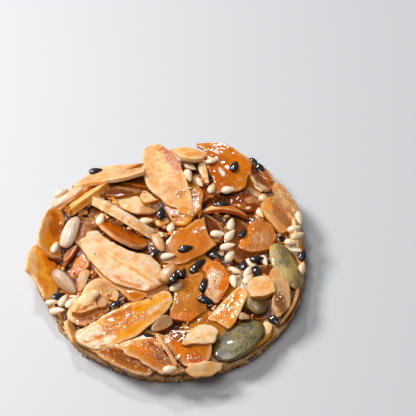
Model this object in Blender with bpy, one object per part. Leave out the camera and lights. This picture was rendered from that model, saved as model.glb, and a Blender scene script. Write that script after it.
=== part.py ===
"""A florentine: a thin round biscuit of sliced almonds and seeds set in caramel.

The biscuit is one solid. A low caramel disc, flared as if baked in a shallow tin, carries slices of
almond that lie over one another, with kernels and seeds on top. Every piece is laid in turn, lowest
first, and settles on what already lies there.

Frame: metres, +Z up, origin at the middle of the flat underside, the front of the biscuit towards -Y.
The tables below hold millimetres and degrees. Their places are as seen from the front, SIGHT_ELEVATION
above the horizon, on the level SIGHT_LEVEL: a piece that lies higher is seen further back than it is.
"""

import math
import random
from typing import NamedTuple

import bmesh
import bpy
import numpy as np
from mathutils import Matrix, Vector, noise

MM = 0.001

# The caramel disc: how far its foot reaches, every 30 degrees from +X
REACH = (28.0, 28.0, 27.2, 25.4, 24.6, 26.0, 27.2, 26.0, 27.0, 27.7, 28.0, 28.2)
FLARE = 0.5
RIM_HEIGHT = 2.9
DISC_HEIGHT = 2.5
DISC_STEPS = 40
RIM_WAVE = 0.35
TOP_WAVE = 0.45

# The direction from which the tables' places are seen
SIGHT_ELEVATION = math.radians(52)
SIGHT_LEVEL = 5.0
SIGHT_SLOPE = 1 / math.tan(SIGHT_ELEVATION)
SEEN_CENTRE = (0.3, 1.4)

# Almond slices
SLICE_STATIONS = 5
SLICE_THICKNESS = 1.15
ROUND_END = 0.5
POINTED_END = 0.62
WIDEST_AT = ROUND_END / (ROUND_END + POINTED_END)
WIDEST = WIDEST_AT**ROUND_END * (1 - WIDEST_AT) ** POINTED_END
END_MARGIN = 0.012

# How pieces settle
CELL = 0.6
HALF_GRID = 56
RESTS_ON = 82
SINKS = 0.35
FLOOR_GAP = 0.25

# Faces this close to level with their neighbours are one face
FLAT_WITHIN = math.radians(0.5)

# The lower layer, laid by rule before the slices that show
SEED = 11
LOWER_SLICES = 16
LOWER_REACH = 22.0
RIM_SLICES = 14
GOLDEN_ANGLE = math.pi * (3 - math.sqrt(5))

# A sesame seed: length, width and thickness
SESAME = (3.2, 1.95, 1.1)


class Slice(NamedTuple):
    """A piece of sliced almond, or a chunk of one."""

    x: float
    y: float
    turn: float  # its long axis from +X, seen from above
    rise: float  # how far its pointed end is lifted
    lean: float  # turned about its long axis, its left edge upwards
    length: float
    width: float
    bow: float = 0.6  # how far its ends hang below its middle
    tail: float = 0.0  # share of the length broken off the round end
    tip: float = 0.0  # share broken off the pointed end
    skew: float = 0.0  # slant of the breaks
    thick: float = SLICE_THICKNESS


class Kernel(NamedTuple):
    """A sunflower kernel or a pumpkin seed."""

    x: float
    y: float
    turn: float
    lean: float
    length: float
    width: float
    thick: float


# What shows, lowest first
PIECES = (
    Slice(16.0, 15.6, 20, 0, 0, 10, 7.5, tail=0.1, tip=0.2),
    Slice(-8.4, 19.6, 8, 0, -10, 11, 6),
    Slice(-6.0, 14.0, -12, 0, 8, 12.5, 6.4, bow=0.9),
    Slice(-0.8, -15.8, 25, 0, 5, 11, 6),
    Slice(-7.0, -3.6, -38, 0, 4, 20, 9),
    Slice(-7.2, -8.4, -38, 0, 4, 9, 5),
    Slice(3.8, 16.6, -80, 4, 4, 16, 8.2),
    Slice(-8.4, -24.0, -24, 0, 10, 15.5, 7),
    Slice(4.7, -9.2, 78, 0, 4, 13, 8),
    Slice(-14.3, -10.4, 46, 0, 6, 14.5, 7.4, bow=1.0),
    Slice(-24.7, -3.6, -76, 0, -34, 15.5, 7.2, bow=0.4, tail=0.08, tip=0.12, skew=0.1),
    Slice(-23.2, 5.8, -98, 0, -36, 15.8, 6.8, bow=0.3),
    Slice(-8.6, 6.9, -33, 0, -32, 17, 8.4, bow=1.2),
    Slice(4.0, -21.2, -38, 0, 8, 14, 8.4),
    Slice(-3.0, -24.0, -32, 0, 12, 14.5, 7.8, bow=0.5, tail=0.16, skew=0.1),
    Slice(10.6, -5.6, 86, 0, 6, 12.5, 6.4, bow=0.9),
    Slice(20.0, 23.0, -48, 0, -24, 11, 4.5, bow=0.4),
    Slice(11.4, 23.6, -38, 0, 14, 17, 12, bow=0.9),
    Slice(19.3, 6.0, 68, 0, 4, 10.5, 7.4, bow=1.2, thick=1.7),
    Slice(5.0, 4.8, 36, 0, 6, 13.5, 9.6, tip=0.2, skew=-0.16),
    Kernel(17.7, -8.2, -68, 0, 10.5, 5.8, 2.6),
    Kernel(24.8, -1.0, -70, -24, 12.6, 6.4, 2.6),
    Slice(-8.3, -15.1, 208, 0, -8, 22, 8.0, bow=0.7),
    Slice(-8.5, 0.4, 141, 0, -8, 22.4, 9.4, bow=0.8, tip=0.03, thick=1.4),
    Slice(12.4, -12.4, 58, 4, -6, 12.5, 5.8, bow=0.4, tail=0.26, skew=0.05),
    Slice(7.1, -18.9, 20, 0, 8, 11, 4.6, bow=0.4, tail=0.1, tip=0.22, skew=0.03),
    Slice(23.5, -7.4, -87, 0, -8, 13.5, 4.4, bow=0.8, thick=1.4),
    Slice(-15.6, -9.4, 22, 0, 6, 7.5, 4.6, bow=0.2, tail=0.2, tip=0.26, skew=0.08, thick=2.0),
    Slice(-12.3, -10.0, -50, 0, 0, 4.2, 2.8, bow=0.1, tail=0.2, tip=0.25, thick=1.5),
    Slice(19.5, -6.6, 14, 0, 4, 7.6, 5.8, bow=0.2, tail=0.2, tip=0.28, skew=0.06, thick=2.0),
    Slice(23.5, 12.0, -63, 0, 4, 13.5, 4.8, bow=0.2, tail=0.18, tip=0.24, skew=-0.12, thick=1.6),
    Slice(25.2, 16.2, -62, 0, -20, 10.5, 2.4, bow=0.4, thick=1.6),
    Slice(12.0, 13.8, -6, 0, -30, 10.5, 2.6, bow=1.7),
    Slice(-11.2, 23.2, 17, 2, -32, 20, 6.6, bow=0.9),
    Slice(-8.9, 12.3, -36, 0, -50, 18, 3.8, bow=0.4, tail=0.03, tip=0.05),
    Slice(-16.8, 17.0, 43, 0, -46, 13, 4.2, bow=0.3, tail=0.08, tip=0.06),
    Slice(0.3, 20.6, -72, 0, 6, 22, 9.4, bow=0.8, tip=0.12),
    Slice(4.5, 29.4, -8, 0, -24, 9.4, 4.4, bow=0.8, tip=0.1),
    Slice(7.9, 24.2, -68, 0, 0, 7, 2.2, bow=0.2, tip=0.1),
    Slice(-3.6, 16.6, -10, 0, 0, 5.6, 3.4, bow=0.1, tail=0.2, tip=0.3, thick=1.6),
    Slice(-0.8, 10.2, 20, 0, 0, 4, 1.6, bow=0.1, tail=0.1, tip=0.2),
    Slice(-18.0, -1.6, -70, 0, 14, 8.4, 5.0, bow=0.7),
    Slice(-17.0, -4.2, -80, 0, -20, 8, 2.8, bow=0.3),
    Slice(-19.7, 2.0, 62, 0, -30, 5, 2.0, bow=0.2),
    Slice(20.8, -16.6, -65, 0, 16, 6.4, 3.2, bow=0.3, tail=0.1),
    Kernel(14.7, -19.6, 42, -10, 12.8, 7.6, 2.6),
    Slice(16.0, -13.8, -12, 0, 10, 4.4, 2.6, bow=0.2, tip=0.2),
    Slice(-18.9, -17.6, -72, 0, -50, 6, 2.6, bow=0.3),
    Slice(8.0, -26.4, 10, 0, 20, 7.5, 3.0, bow=0.5),
    Slice(27.2, 7.4, -86, 0, -60, 8, 3.0, bow=0.4),
    Kernel(-20.0, 7.8, 72, 10, 8.4, 3.6, 2.2),
    Kernel(-20.8, -5.2, -50, 20, 7.6, 3.0, 2.2),
    Kernel(-21.0, 17.0, 40, -20, 8.2, 2.8, 2.2),
    Kernel(0.5, -2.6, 60, 0, 5.4, 3.2, 2.2),
    Kernel(-1.6, 5.0, -68, 0, 5.0, 2.2, 1.8),
)

# Sesame seeds: place and turn
PALE_SESAME = (
    (4.8, 27.0, -20), (9.8, 27.0, 25), (4.5, 22.8, -70), (6.6, 21.0, -50), (9.5, 19.5, 75),
    (13.0, 19.0, 10), (19.5, 20.0, -65), (20.5, 17.2, 60), (19.5, 12.8, -60), (13.5, 9.8, 80),
    (13.3, 6.9, 55), (10.8, 7.2, 0), (12.8, 4.0, 10), (13.3, 1.5, 60), (0.3, 1.5, 5),
    (-4.2, 10.7, 5), (-13.8, 11.2, 75), (1.0, 9.2, 80), (20.3, 0.3, -70), (17.7, -0.5, -50),
    (14.2, -2.4, -25), (13.9, -5.0, -80), (17.0, -4.3, 60), (27.3, 6.9, 30), (26.0, 5.2, 0),
    (26.8, 3.3, -25), (28.0, -1.6, 75), (27.7, 11.4, -80), (-23.0, 3.8, 75), (-22.9, -10.2, 10),
    (-21.9, -12.3, 0), (-20.8, -9.8, 65), (-19.0, -10.2, 50), (1.3, -26.3, 15), (-22.3, 18.1, 30),
    (4.9, 25.3, -40), (26.6, 8.7, 20), (2.2, -6.3, 40), (16.9, -2.6, 70),
)
BLACK_SESAME = (
    (4.0, 3.4, 15), (14.3, 25.6, 70), (18.5, 26.4, -50), (19.8, 24.4, -70), (10.3, 1.5, -20),
    (7.0, -0.4, 45), (5.9, -1.6, 60), (3.3, -2.8, 65), (1.6, -3.6, 70), (7.8, -5.8, 68),
    (8.2, -9.7, -15), (16.0, -0.7, 85), (18.7, 0.8, 10), (18.8, -2.5, -70), (16.0, 7.6, 60),
    (24.0, 5.7, 20), (28.2, 1.8, 75), (22.0, -14.7, -50), (-10.2, -10.8, 40), (-15.3, 24.2, 15),
    (-21.8, -8.6, 40), (-2.4, 2.1, 40), (-3.5, -18.6, 10), (11.5, 15.0, 0), (-1.2, 12.8, 80),
)

# Black seeds in the wall: angle from +X, height and slant
WALL_SESAME = (
    (-113, 1.5, 15), (-107, 1.1, -10), (-52, 1.7, 20), (-143, 2.4, 50), (-139, 1.8, 60),
    (-20, 1.5, 5), (16, 1.8, 30), (48, 1.3, -20), (83, 1.9, 10), (117, 1.4, 40), (160, 1.6, -15),
)


def new_collection(name: str) -> bpy.types.Collection:
    """A new collection in the scene."""
    collection = bpy.data.collections.new(name)
    bpy.context.scene.collection.children.link(collection)
    return collection


def caramel_and_almond() -> bpy.types.Material:
    """Baked caramel with sliced almonds in it, glossy."""
    material = bpy.data.materials.new("caramel and almond")
    material.use_nodes = True
    shader = material.node_tree.nodes["Principled BSDF"]
    shader.inputs["Base Color"].default_value = (0.60, 0.30, 0.10, 1.0)
    shader.inputs["Roughness"].default_value = 0.35
    shader.inputs["Coat Weight"].default_value = 0.3
    return material


def add_object(name: str, points, faces, collection: bpy.types.Collection) -> bpy.types.Object:
    """A mesh object from points in millimetres."""
    mesh = bpy.data.meshes.new(name)
    mesh.from_pydata([Vector(point) * MM for point in points], [], faces)
    mesh.update()
    obj = bpy.data.objects.new(name, mesh)
    collection.objects.link(obj)
    return obj


def lathe(stations, sides: int):
    """Points and triangles of a closed body from rings of (points) between two end points."""
    points = [stations[0]]
    for ring in stations[1:-1]:
        points.extend(ring)
    points.append(stations[-1])
    last = len(points) - 1
    faces = []
    for k in range(sides):
        after = (k + 1) % sides
        faces.append((0, 1 + after, 1 + k))
        for ring in range(len(stations) - 3):
            a = 1 + ring * sides + k
            b = 1 + ring * sides + after
            faces.append((a, b, b + sides))
            faces.append((a, b + sides, a + sides))
        start = 1 + (len(stations) - 3) * sides
        faces.append((start + k, start + after, last))
    return points, faces


def foot_reach(angle: float) -> float:
    """How far the disc's foot reaches at this angle."""
    step = math.degrees(angle) % 360 / 30
    before = int(step) % len(REACH)
    share = 0.5 - 0.5 * math.cos(math.pi * (step - int(step)))
    reach = REACH[before] * (1 - share) + REACH[(before + 1) % len(REACH)] * share
    place = Vector((math.cos(angle), math.sin(angle), 0.3)) * 5.2
    return reach + RIM_WAVE * noise.noise(place)


def disc_mesh():
    """The caramel disc: a flat underside, a flared wall and an uneven top."""
    rings = [
        (1.0, -0.6, 0.0),
        (1.0, 0.0, 0.5),
        (1.0, FLARE, RIM_HEIGHT),
        (1.0, -1.8, DISC_HEIGHT + 0.5),
        (0.66, 0.0, DISC_HEIGHT),
        (0.33, 0.0, DISC_HEIGHT),
    ]
    stations = [(0.0, 0.0, 0.0)]
    for share, beyond, height in rings:
        ring = []
        for k in range(DISC_STEPS):
            angle = 2 * math.pi * k / DISC_STEPS
            reach = share * foot_reach(angle) + beyond
            x = reach * math.cos(angle)
            y = reach * math.sin(angle)
            lift = TOP_WAVE * noise.noise(Vector((x, y, 7.0)) * 0.21) if height > 1 else 0.0
            ring.append((x, y, height + lift))
        stations.append(ring)
    stations.append((0.0, 0.0, DISC_HEIGHT))
    points, faces = lathe(stations, DISC_STEPS)
    return np.array(points), faces


def slice_mesh(item: Slice):
    """A slice lying flat at the origin: pairs of edge points along it, above and below."""
    start = max(item.tail, END_MARGIN)
    end = 1 - max(item.tip, END_MARGIN)
    points = []
    for k in range(SLICE_STATIONS):
        share = 0.5 - 0.5 * math.cos(math.pi * k / (SLICE_STATIONS - 1))
        along = start + share * (end - start)
        half = 0.5 * item.width * along**ROUND_END * (1 - along) ** POINTED_END / WIDEST
        hang = item.bow * (2 * along - 1) ** 2
        for side in (1, -1):
            x = (along - 0.5 + side * item.skew) * item.length
            points.append((x, side * half, 0.5 * item.thick - hang))
            points.append((x, side * half, -0.5 * item.thick - hang))
    faces = []
    for k in range(SLICE_STATIONS - 1):
        a = 4 * k
        b = a + 4
        for one, two, three, four in ((a, a + 2, b + 2, b), (b + 1, b + 3, a + 3, a + 1)):
            faces.append((one, two, three))
            faces.append((one, three, four))
        for one, two, three, four in ((a + 1, a, b, b + 1), (a + 2, a + 3, b + 3, b + 2)):
            faces.append((one, two, three))
            faces.append((one, three, four))
    last = 4 * (SLICE_STATIONS - 1)
    faces.extend([(0, 1, 3), (0, 3, 2), (last, last + 2, last + 3), (last, last + 3, last + 1)])
    return np.array(points), faces


def kernel_mesh(length: float, width: float, thickness: float, rings: int, sides: int):
    """A seed lying at the origin, blunt at its -X end."""
    stations = [(-0.5 * length, 0.0, 0.0)]
    for k in range(1, rings + 1):
        along = 0.5 - 0.5 * math.cos(math.pi * k / (rings + 1))
        half = along**ROUND_END * (1 - along) ** POINTED_END / WIDEST
        ring = []
        for side in range(sides):
            angle = 2 * math.pi * side / sides
            y = 0.5 * width * half * math.cos(angle)
            z = 0.5 * thickness * half * math.sin(angle)
            ring.append(((along - 0.5) * length, y, z))
        stations.append(ring)
    stations.append((0.5 * length, 0.0, 0.0))
    points, faces = lathe(stations, sides)
    return np.array(points), faces


def turned(points, turn: float, rise: float = 0.0, lean: float = 0.0):
    """The points leant about X, raised at their +X end, then turned about Z."""
    matrix = Matrix.Rotation(math.radians(turn), 3, "Z")
    matrix = matrix @ Matrix.Rotation(math.radians(-rise), 3, "Y")
    matrix = matrix @ Matrix.Rotation(math.radians(lean), 3, "X")
    return points @ np.array(matrix).T


class Relief:
    """The height of everything laid so far, on a square grid of cells."""

    def __init__(self):
        side = 2 * HALF_GRID + 1
        self.height = np.zeros((side, side))

    def span(self, points, faces):
        """The lowest and highest height of a piece over each cell it covers."""
        low = np.full(self.height.shape, np.inf)
        high = np.full(self.height.shape, -np.inf)
        place = points[:, :2] / CELL + HALF_GRID
        for face in faces:
            a, b, c = place[list(face)]
            za, zb, zc = points[list(face), 2]
            area = (b[0] - a[0]) * (c[1] - a[1]) - (b[1] - a[1]) * (c[0] - a[0])
            if abs(area) < 1e-6:
                continue
            first = np.maximum(np.ceil(np.min([a, b, c], axis=0)).astype(int), 0)
            last = np.minimum(np.floor(np.max([a, b, c], axis=0)).astype(int), 2 * HALF_GRID)
            if (first > last).any():
                continue
            gx, gy = np.meshgrid(
                np.arange(first[0], last[0] + 1), np.arange(first[1], last[1] + 1), indexing="ij"
            )
            wb = ((gx - a[0]) * (c[1] - a[1]) - (gy - a[1]) * (c[0] - a[0])) / area
            wc = ((b[0] - a[0]) * (gy - a[1]) - (b[1] - a[1]) * (gx - a[0])) / area
            inside = (wb >= 0) & (wc >= 0) & (wb + wc <= 1)
            z = za + wb * (zb - za) + wc * (zc - za)
            gx, gy, z = gx[inside], gy[inside], z[inside]
            low[gx, gy] = np.minimum(low[gx, gy], z)
            high[gx, gy] = np.maximum(high[gx, gy], z)
        return low, high

    def cover(self, points, faces):
        """Counts a piece as laid where it is."""
        high = self.span(points, faces)[1]
        self.height = np.maximum(self.height, high)

    def rest(self, points, faces):
        """How far a piece above the origin's level must rise to rest on what is laid."""
        low = self.span(points, faces)[0]
        covered = np.isfinite(low)
        if not covered.any():
            return 0.0
        gap = self.height[covered] - low[covered]
        return float(np.percentile(gap, RESTS_ON)) - SINKS


class Pile:
    """The pieces laid so far, and the collection that holds them."""

    def __init__(self, collection: bpy.types.Collection):
        self.collection = collection
        self.relief = Relief()

    def add(self, name: str, points, faces):
        """Puts a piece down exactly where it is."""
        self.relief.cover(points, faces)
        return add_object(name, points, faces, self.collection)

    def settle(self, name: str, x: float, y: float, points, faces):
        """Lays a piece seen at (x, y) from the front on whatever already lies under it."""
        height = SIGHT_LEVEL
        for _ in range(4):
            place = standing_at(x, y, height)
            height = 0.5 * (height + self.relief.rest(points + place, faces))
        rest = max(height, FLOOR_GAP - points[:, 2].min())
        return self.add(name, points + standing_at(x, y, rest) + (0, 0, rest), faces)


def standing_at(x: float, y: float, height: float):
    """Where on the ground a point stands that is seen at (x, y) and lies this high."""
    back = SIGHT_SLOPE * (height - SIGHT_LEVEL)
    return np.array((x - SEEN_CENTRE[0], y - SEEN_CENTRE[1] - back, 0.0))


def lay_lower_layer(pile: Pile, draw: random.Random):
    """Slices under those that show, spread in a spiral, and a ring of them along the wall."""
    for k in range(LOWER_SLICES):
        reach = LOWER_REACH * math.sqrt((k + 0.5) / LOWER_SLICES)
        angle = k * GOLDEN_ANGLE
        item = Slice(0, 0, 0, 0, 0, draw.uniform(11, 17), draw.uniform(6, 8.5), thick=1.3)
        points, faces = slice_mesh(item)
        points = turned(points, draw.uniform(0, 360), draw.uniform(-3, 3), draw.uniform(-7, 7))
        points = points + (reach * math.cos(angle), reach * math.sin(angle), 0)
        pile.add(f"lower slice {k}", points + (0, 0, pile.relief.rest(points, faces)), faces)
    for k in range(RIM_SLICES):
        angle = 2 * math.pi * (k + 0.3 * draw.random()) / RIM_SLICES
        item = Slice(0, 0, 0, 0, 0, draw.uniform(9, 14), draw.uniform(3.6, 4.8), bow=-0.6, thick=1.3)
        points, faces = slice_mesh(item)
        points = turned(points, math.degrees(angle) + 90, draw.uniform(-5, 5), draw.uniform(-74, -64))
        reach = foot_reach(angle) - 0.3
        where = (reach * math.cos(angle), reach * math.sin(angle), 0)
        pile.add(f"rim slice {k}", points + where + (0, 0, 0.4 - points[:, 2].min()), faces)


def lay_pieces(pile: Pile):
    """The slices, pumpkin seeds and sunflower kernels that show."""
    for k, item in enumerate(PIECES):
        if isinstance(item, Slice):
            points, faces = slice_mesh(item)
            points = turned(points, item.turn, item.rise, item.lean)
            pile.settle(f"slice {k}", item.x, item.y, points, faces)
        else:
            points, faces = kernel_mesh(item.length, item.width, item.thick, 4, 7)
            pile.settle(f"kernel {k}", item.x, item.y, turned(points, item.turn, 0, item.lean), faces)


def lay_sesame(pile: Pile, draw: random.Random):
    """The seeds scattered last."""
    for kind, spots in (("pale sesame", PALE_SESAME), ("black sesame", BLACK_SESAME)):
        for k, (x, y, turn) in enumerate(spots):
            points, faces = kernel_mesh(*SESAME, 3, 5)
            points = turned(points, turn, draw.uniform(-12, 12), draw.uniform(-20, 20))
            pile.settle(f"{kind} {k}", x, y, points, faces)


def set_wall_seeds(pile: Pile):
    """The seeds half sunk in the wall."""
    for k, (angle, height, slant) in enumerate(WALL_SESAME):
        angle = math.radians(angle)
        points, faces = kernel_mesh(*SESAME, 3, 5)
        points = turned(points, 0, slant, 90)
        points = turned(points, math.degrees(angle) + 90)
        reach = foot_reach(angle) + FLARE * height / RIM_HEIGHT + 0.1
        where = (reach * math.cos(angle), reach * math.sin(angle), height)
        pile.add(f"wall seed {k}", points + where, faces)


def keep_largest_shell(obj: bpy.types.Object):
    """Drops loose scraps and sealed hollows, which are shells of their own, and spare points on flat faces."""
    work = bmesh.new()
    work.from_mesh(obj.data)
    left = set(work.faces)
    shells = []
    while left:
        shell = set()
        edge_of = [left.pop()]
        while edge_of:
            face = edge_of.pop()
            shell.add(face)
            for edge in face.edges:
                for other in edge.link_faces:
                    if other in left:
                        left.discard(other)
                        edge_of.append(other)
        shells.append(shell)
    shells.sort(key=len, reverse=True)
    spare = [face for shell in shells[1:] for face in shell]
    bmesh.ops.delete(work, geom=spare, context="FACES")
    loose = [vertex for vertex in work.verts if not vertex.link_faces]
    bmesh.ops.delete(work, geom=loose, context="VERTS")
    bmesh.ops.dissolve_limit(work, angle_limit=FLAT_WITHIN, verts=work.verts[:], edges=work.edges[:])
    bmesh.ops.triangulate(work, faces=work.faces[:])
    work.to_mesh(obj.data)
    work.free()


def join_pieces(disc: bpy.types.Object, pieces: bpy.types.Collection):
    """Makes the disc and everything laid on it one solid."""
    union = disc.modifiers.new("join", "BOOLEAN")
    union.operation = "UNION"
    union.operand_type = "COLLECTION"
    union.collection = pieces
    union.solver = "MANIFOLD"
    graph = bpy.context.evaluated_depsgraph_get()
    joined = bpy.data.meshes.new_from_object(disc.evaluated_get(graph))
    disc.modifiers.clear()
    disc.data = joined


def main():
    """Builds the florentine."""
    for obj in list(bpy.data.objects):
        bpy.data.objects.remove(obj)
    finished = new_collection("florentine")
    pieces = new_collection("pieces")
    pieces.hide_render = True
    draw = random.Random(SEED)
    pile = Pile(pieces)
    points, faces = disc_mesh()
    pile.relief.cover(points, faces)
    disc = add_object("florentine", points, faces, finished)
    lay_lower_layer(pile, draw)
    lay_pieces(pile)
    lay_sesame(pile, draw)
    set_wall_seeds(pile)
    for piece in pieces.objects:
        piece.hide_render = True
        piece.display_type = "WIRE"
    join_pieces(disc, pieces)
    for piece in list(pieces.objects):
        bpy.data.objects.remove(piece)
    bpy.data.collections.remove(pieces)
    keep_largest_shell(disc)
    disc.data.materials.clear()
    disc.data.materials.append(caramel_and_almond())


main()
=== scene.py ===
"""The looks of the florentine: sliced almonds and seeds baked into a low disc of caramel.

The pieces are laid by the same rule as the solid that they replace, lowest first, and each almond slice
then gets its own outline, thickness, browning and glaze. Lengths are millimetres and angles degrees until
a mesh is made. The tables' places are as seen by the camera on a level SIGHT.level above the floor.
"""

import sys

import logging
import math
import random
from collections.abc import Callable
from dataclasses import dataclass, field, replace
from enum import Enum
from functools import partial
from typing import ClassVar

import bpy
import numpy as np
from mathutils import Matrix, Vector, noise
from mathutils.geometry import delaunay_2d_cdt


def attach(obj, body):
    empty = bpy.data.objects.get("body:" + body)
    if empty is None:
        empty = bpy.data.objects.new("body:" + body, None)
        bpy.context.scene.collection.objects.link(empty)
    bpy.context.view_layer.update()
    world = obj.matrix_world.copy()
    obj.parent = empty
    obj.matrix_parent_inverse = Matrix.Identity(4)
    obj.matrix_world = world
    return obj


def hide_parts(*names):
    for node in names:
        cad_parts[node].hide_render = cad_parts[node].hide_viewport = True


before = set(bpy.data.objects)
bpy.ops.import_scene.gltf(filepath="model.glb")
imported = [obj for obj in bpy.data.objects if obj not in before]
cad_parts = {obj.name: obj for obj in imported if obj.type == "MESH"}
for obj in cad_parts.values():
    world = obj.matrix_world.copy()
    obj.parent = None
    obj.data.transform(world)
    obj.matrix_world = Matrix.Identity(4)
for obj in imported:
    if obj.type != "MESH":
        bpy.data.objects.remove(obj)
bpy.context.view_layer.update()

MM = 0.001
NODE = "florentine"
BODY = "root"
TURN = 2 * math.pi
GOLDEN_ANGLE = math.pi * (3 - math.sqrt(5))
POOL_SHIFT = 0.37

Paint = tuple[float, float, float, float]
Array = np.ndarray
Material = bpy.types.Material
Object = bpy.types.Object
Socket = bpy.types.NodeSocket

log = logging.getLogger("florentine")


class Tone(Enum):
    """Colours of almond and caramel, from raw to burnt, as linear red, green and blue."""

    # Near-white: the colour of froth, and of the painted highlights put as small patches on the slices.
    FOAM_AND_GLINT = (0.96, 0.90, 0.82)
    IVORY = (0.80, 0.64, 0.46)
    PALE = (0.83, 0.58, 0.31)
    PEACH = (0.77, 0.47, 0.23)
    CREAM = (0.75, 0.42, 0.18)
    TAN = (0.50, 0.28, 0.12)
    YELLOW = (0.86, 0.40, 0.008)
    GOLD = (0.76, 0.31, 0.018)
    ORANGE = (0.66, 0.18, 0.003)
    AMBER = (0.50, 0.175, 0.003)
    ROSE = (0.42, 0.145, 0.03)
    RUST = (0.40, 0.083, 0.003)
    DEEP = (0.44, 0.08, 0.002)
    BROWN = (0.17, 0.040, 0.003)
    UMBER = (0.055, 0.010, 0.002)

    @property
    def colour(self) -> Array:
        """The tone as an array."""
        return np.array(self.value)


FOAM_AND_GLINT, IVORY, PALE, PEACH, CREAM, TAN, YELLOW, GOLD, ORANGE, AMBER, ROSE, RUST, DEEP, BROWN, UMBER = Tone


@dataclass(frozen=True)
class Sight:
    """The direction and distance that the biscuit is seen from, and where it stands in the frame."""

    elevation: float = 52.0
    level: float = 5.0
    seen_centre: tuple[float, float] = (0.3, 1.4)
    distance: float = 450.0
    pixels_per_mm: float = 4.85
    centre_pixel: tuple[float, float] = (167.5, 256.6)
    frame_pixels: float = 416.0
    sensor: float = 36.0

    @property
    def slope(self) -> float:
        """How far back a point appears for each millimetre that it lies higher."""
        return 1 / math.tan(math.radians(self.elevation))

    @property
    def view(self) -> Array:
        """The direction in which the camera looks."""
        angle = math.radians(self.elevation)
        return np.array((0.0, math.cos(angle), -math.sin(angle)))

    @property
    def up(self) -> Array:
        """The direction that is up in the frame."""
        return np.cross((1.0, 0.0, 0.0), self.view)

    @property
    def eye(self) -> Array:
        """Finds where the camera stands.

        Returns:
            The place, in millimetres.
        """
        middle = self.frame_pixels / 2
        across = (self.centre_pixel[0] - middle) / self.pixels_per_mm
        upward = -(self.centre_pixel[1] - middle) / self.pixels_per_mm
        aim = np.array((0.0, 0.0, self.level))
        return aim - self.view * self.distance - np.array((across, 0, 0)) - self.up * upward

    def standing_at(self, x: float, y: float, height: float) -> Array:
        """The point of the floor under a point that is seen at a place and lies at a height."""
        back = self.slope * (height - self.level)
        return np.array((x - self.seen_centre[0], y - self.seen_centre[1] - back, 0.0))

    def seen(self, points: Array) -> Array:
        """Finds where points are seen.

        Args:
            points: Points of the biscuit.

        Returns:
            Their seen places, two numbers each.
        """
        share = (self.level - self.eye[2]) / (points[:, 2] - self.eye[2])
        level = self.eye + share[:, None] * (points - self.eye)
        return level[:, :2] + self.seen_centre

    def rays(self, seen: Array) -> Array:
        """The directions from the eye to seen places."""
        level = np.column_stack((seen - self.seen_centre, np.full(len(seen), self.level)))
        return level - self.eye

    def add_camera(self) -> None:
        """Puts the camera in the scene."""
        camera = bpy.data.objects.new("camera", bpy.data.cameras.new("camera"))
        camera.data.sensor_width = self.sensor
        camera.data.lens = self.pixels_per_mm * self.distance / self.frame_pixels * self.sensor
        pose = Matrix.Identity(4)
        for row in range(3):
            pose[row][0] = (1.0, 0.0, 0.0)[row]
            pose[row][1] = self.up[row]
            pose[row][2] = -self.view[row]
            pose[row][3] = self.eye[row] * MM
        camera.matrix_world = pose
        bpy.context.scene.collection.objects.link(camera)
        bpy.context.scene.camera = camera


SIGHT = Sight()


@dataclass(frozen=True)
class Pool:
    """A patch on a slice's upper face: a browner or paler tone, glaze and its froth, or a low rise."""

    x: float
    y: float
    long: float
    short: float
    turn: float = 0.0
    tone: Tone | None = None
    amount: float = 1.0
    wet: float = 0.0
    froth: float = 0.0
    lift: float = 0.0
    waver: ClassVar[float] = 0.5
    waver_scale: ClassVar[float] = 0.9
    soft_edge: ClassVar[tuple[float, float]] = (0.75, 1.25)

    def weight(self, seen: Array, seed: float) -> Array:
        """Finds how strongly the patch covers places.

        Args:
            seen: Seen places, two numbers each.
            seed: Shifts the unevenness of the patch's outline.

        Returns:
            One share for each place.
        """
        angle = math.radians(self.turn)
        away = seen - (self.x, self.y)
        along = (away[:, 0] * math.cos(angle) + away[:, 1] * math.sin(angle)) / self.long
        across = (-away[:, 0] * math.sin(angle) + away[:, 1] * math.cos(angle)) / self.short
        scale = self.waver_scale
        waver = np.array([noise.noise(Vector((x * scale, y * scale, seed))) for x, y in seen])
        reach = np.hypot(along, across) * (1 + self.waver * waver)
        return self.amount * (1 - smooth_step(reach, *self.soft_edge))


def smooth_step(value: Array, low: float, high: float) -> Array:
    """The share between 0 at low and 1 at high, eased at both ends."""
    share = np.clip((value - low) / (high - low), 0, 1)
    return share * share * (3 - 2 * share)


@dataclass(frozen=True)
class Slice:
    """A piece of sliced almond, or a chunk of one, with its place, size and looks."""

    x: float
    y: float
    turn: float
    rise: float
    lean: float
    length: float
    width: float
    bow: float = 0.6
    tail: float = 0.0
    tip: float = 0.0
    skew: float = 0.0
    thick: float = 1.15
    tone: Tone = AMBER
    shade: float = 1.0
    other: Tone | None = None
    share: float = 0.5
    wet: float = 0.4
    froth: float = 0.0
    freckle: float = 0.2
    rim: float = 0.5
    side: Tone = CREAM
    heft: float = 0.82
    ragged: float = 1.0
    held: float = 0.0
    pools: tuple[Pool, ...] = ()
    outline: tuple[tuple[float, float], ...] = ()


@dataclass(frozen=True)
class Kernel:
    """A sunflower kernel or a pumpkin seed, with its place and size."""

    x: float
    y: float
    turn: float
    lean: float
    length: float
    width: float
    thick: float
    pumpkin: bool = False
    wash: tuple[float, float, float] = (1.0, 1.0, 1.0)


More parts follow.
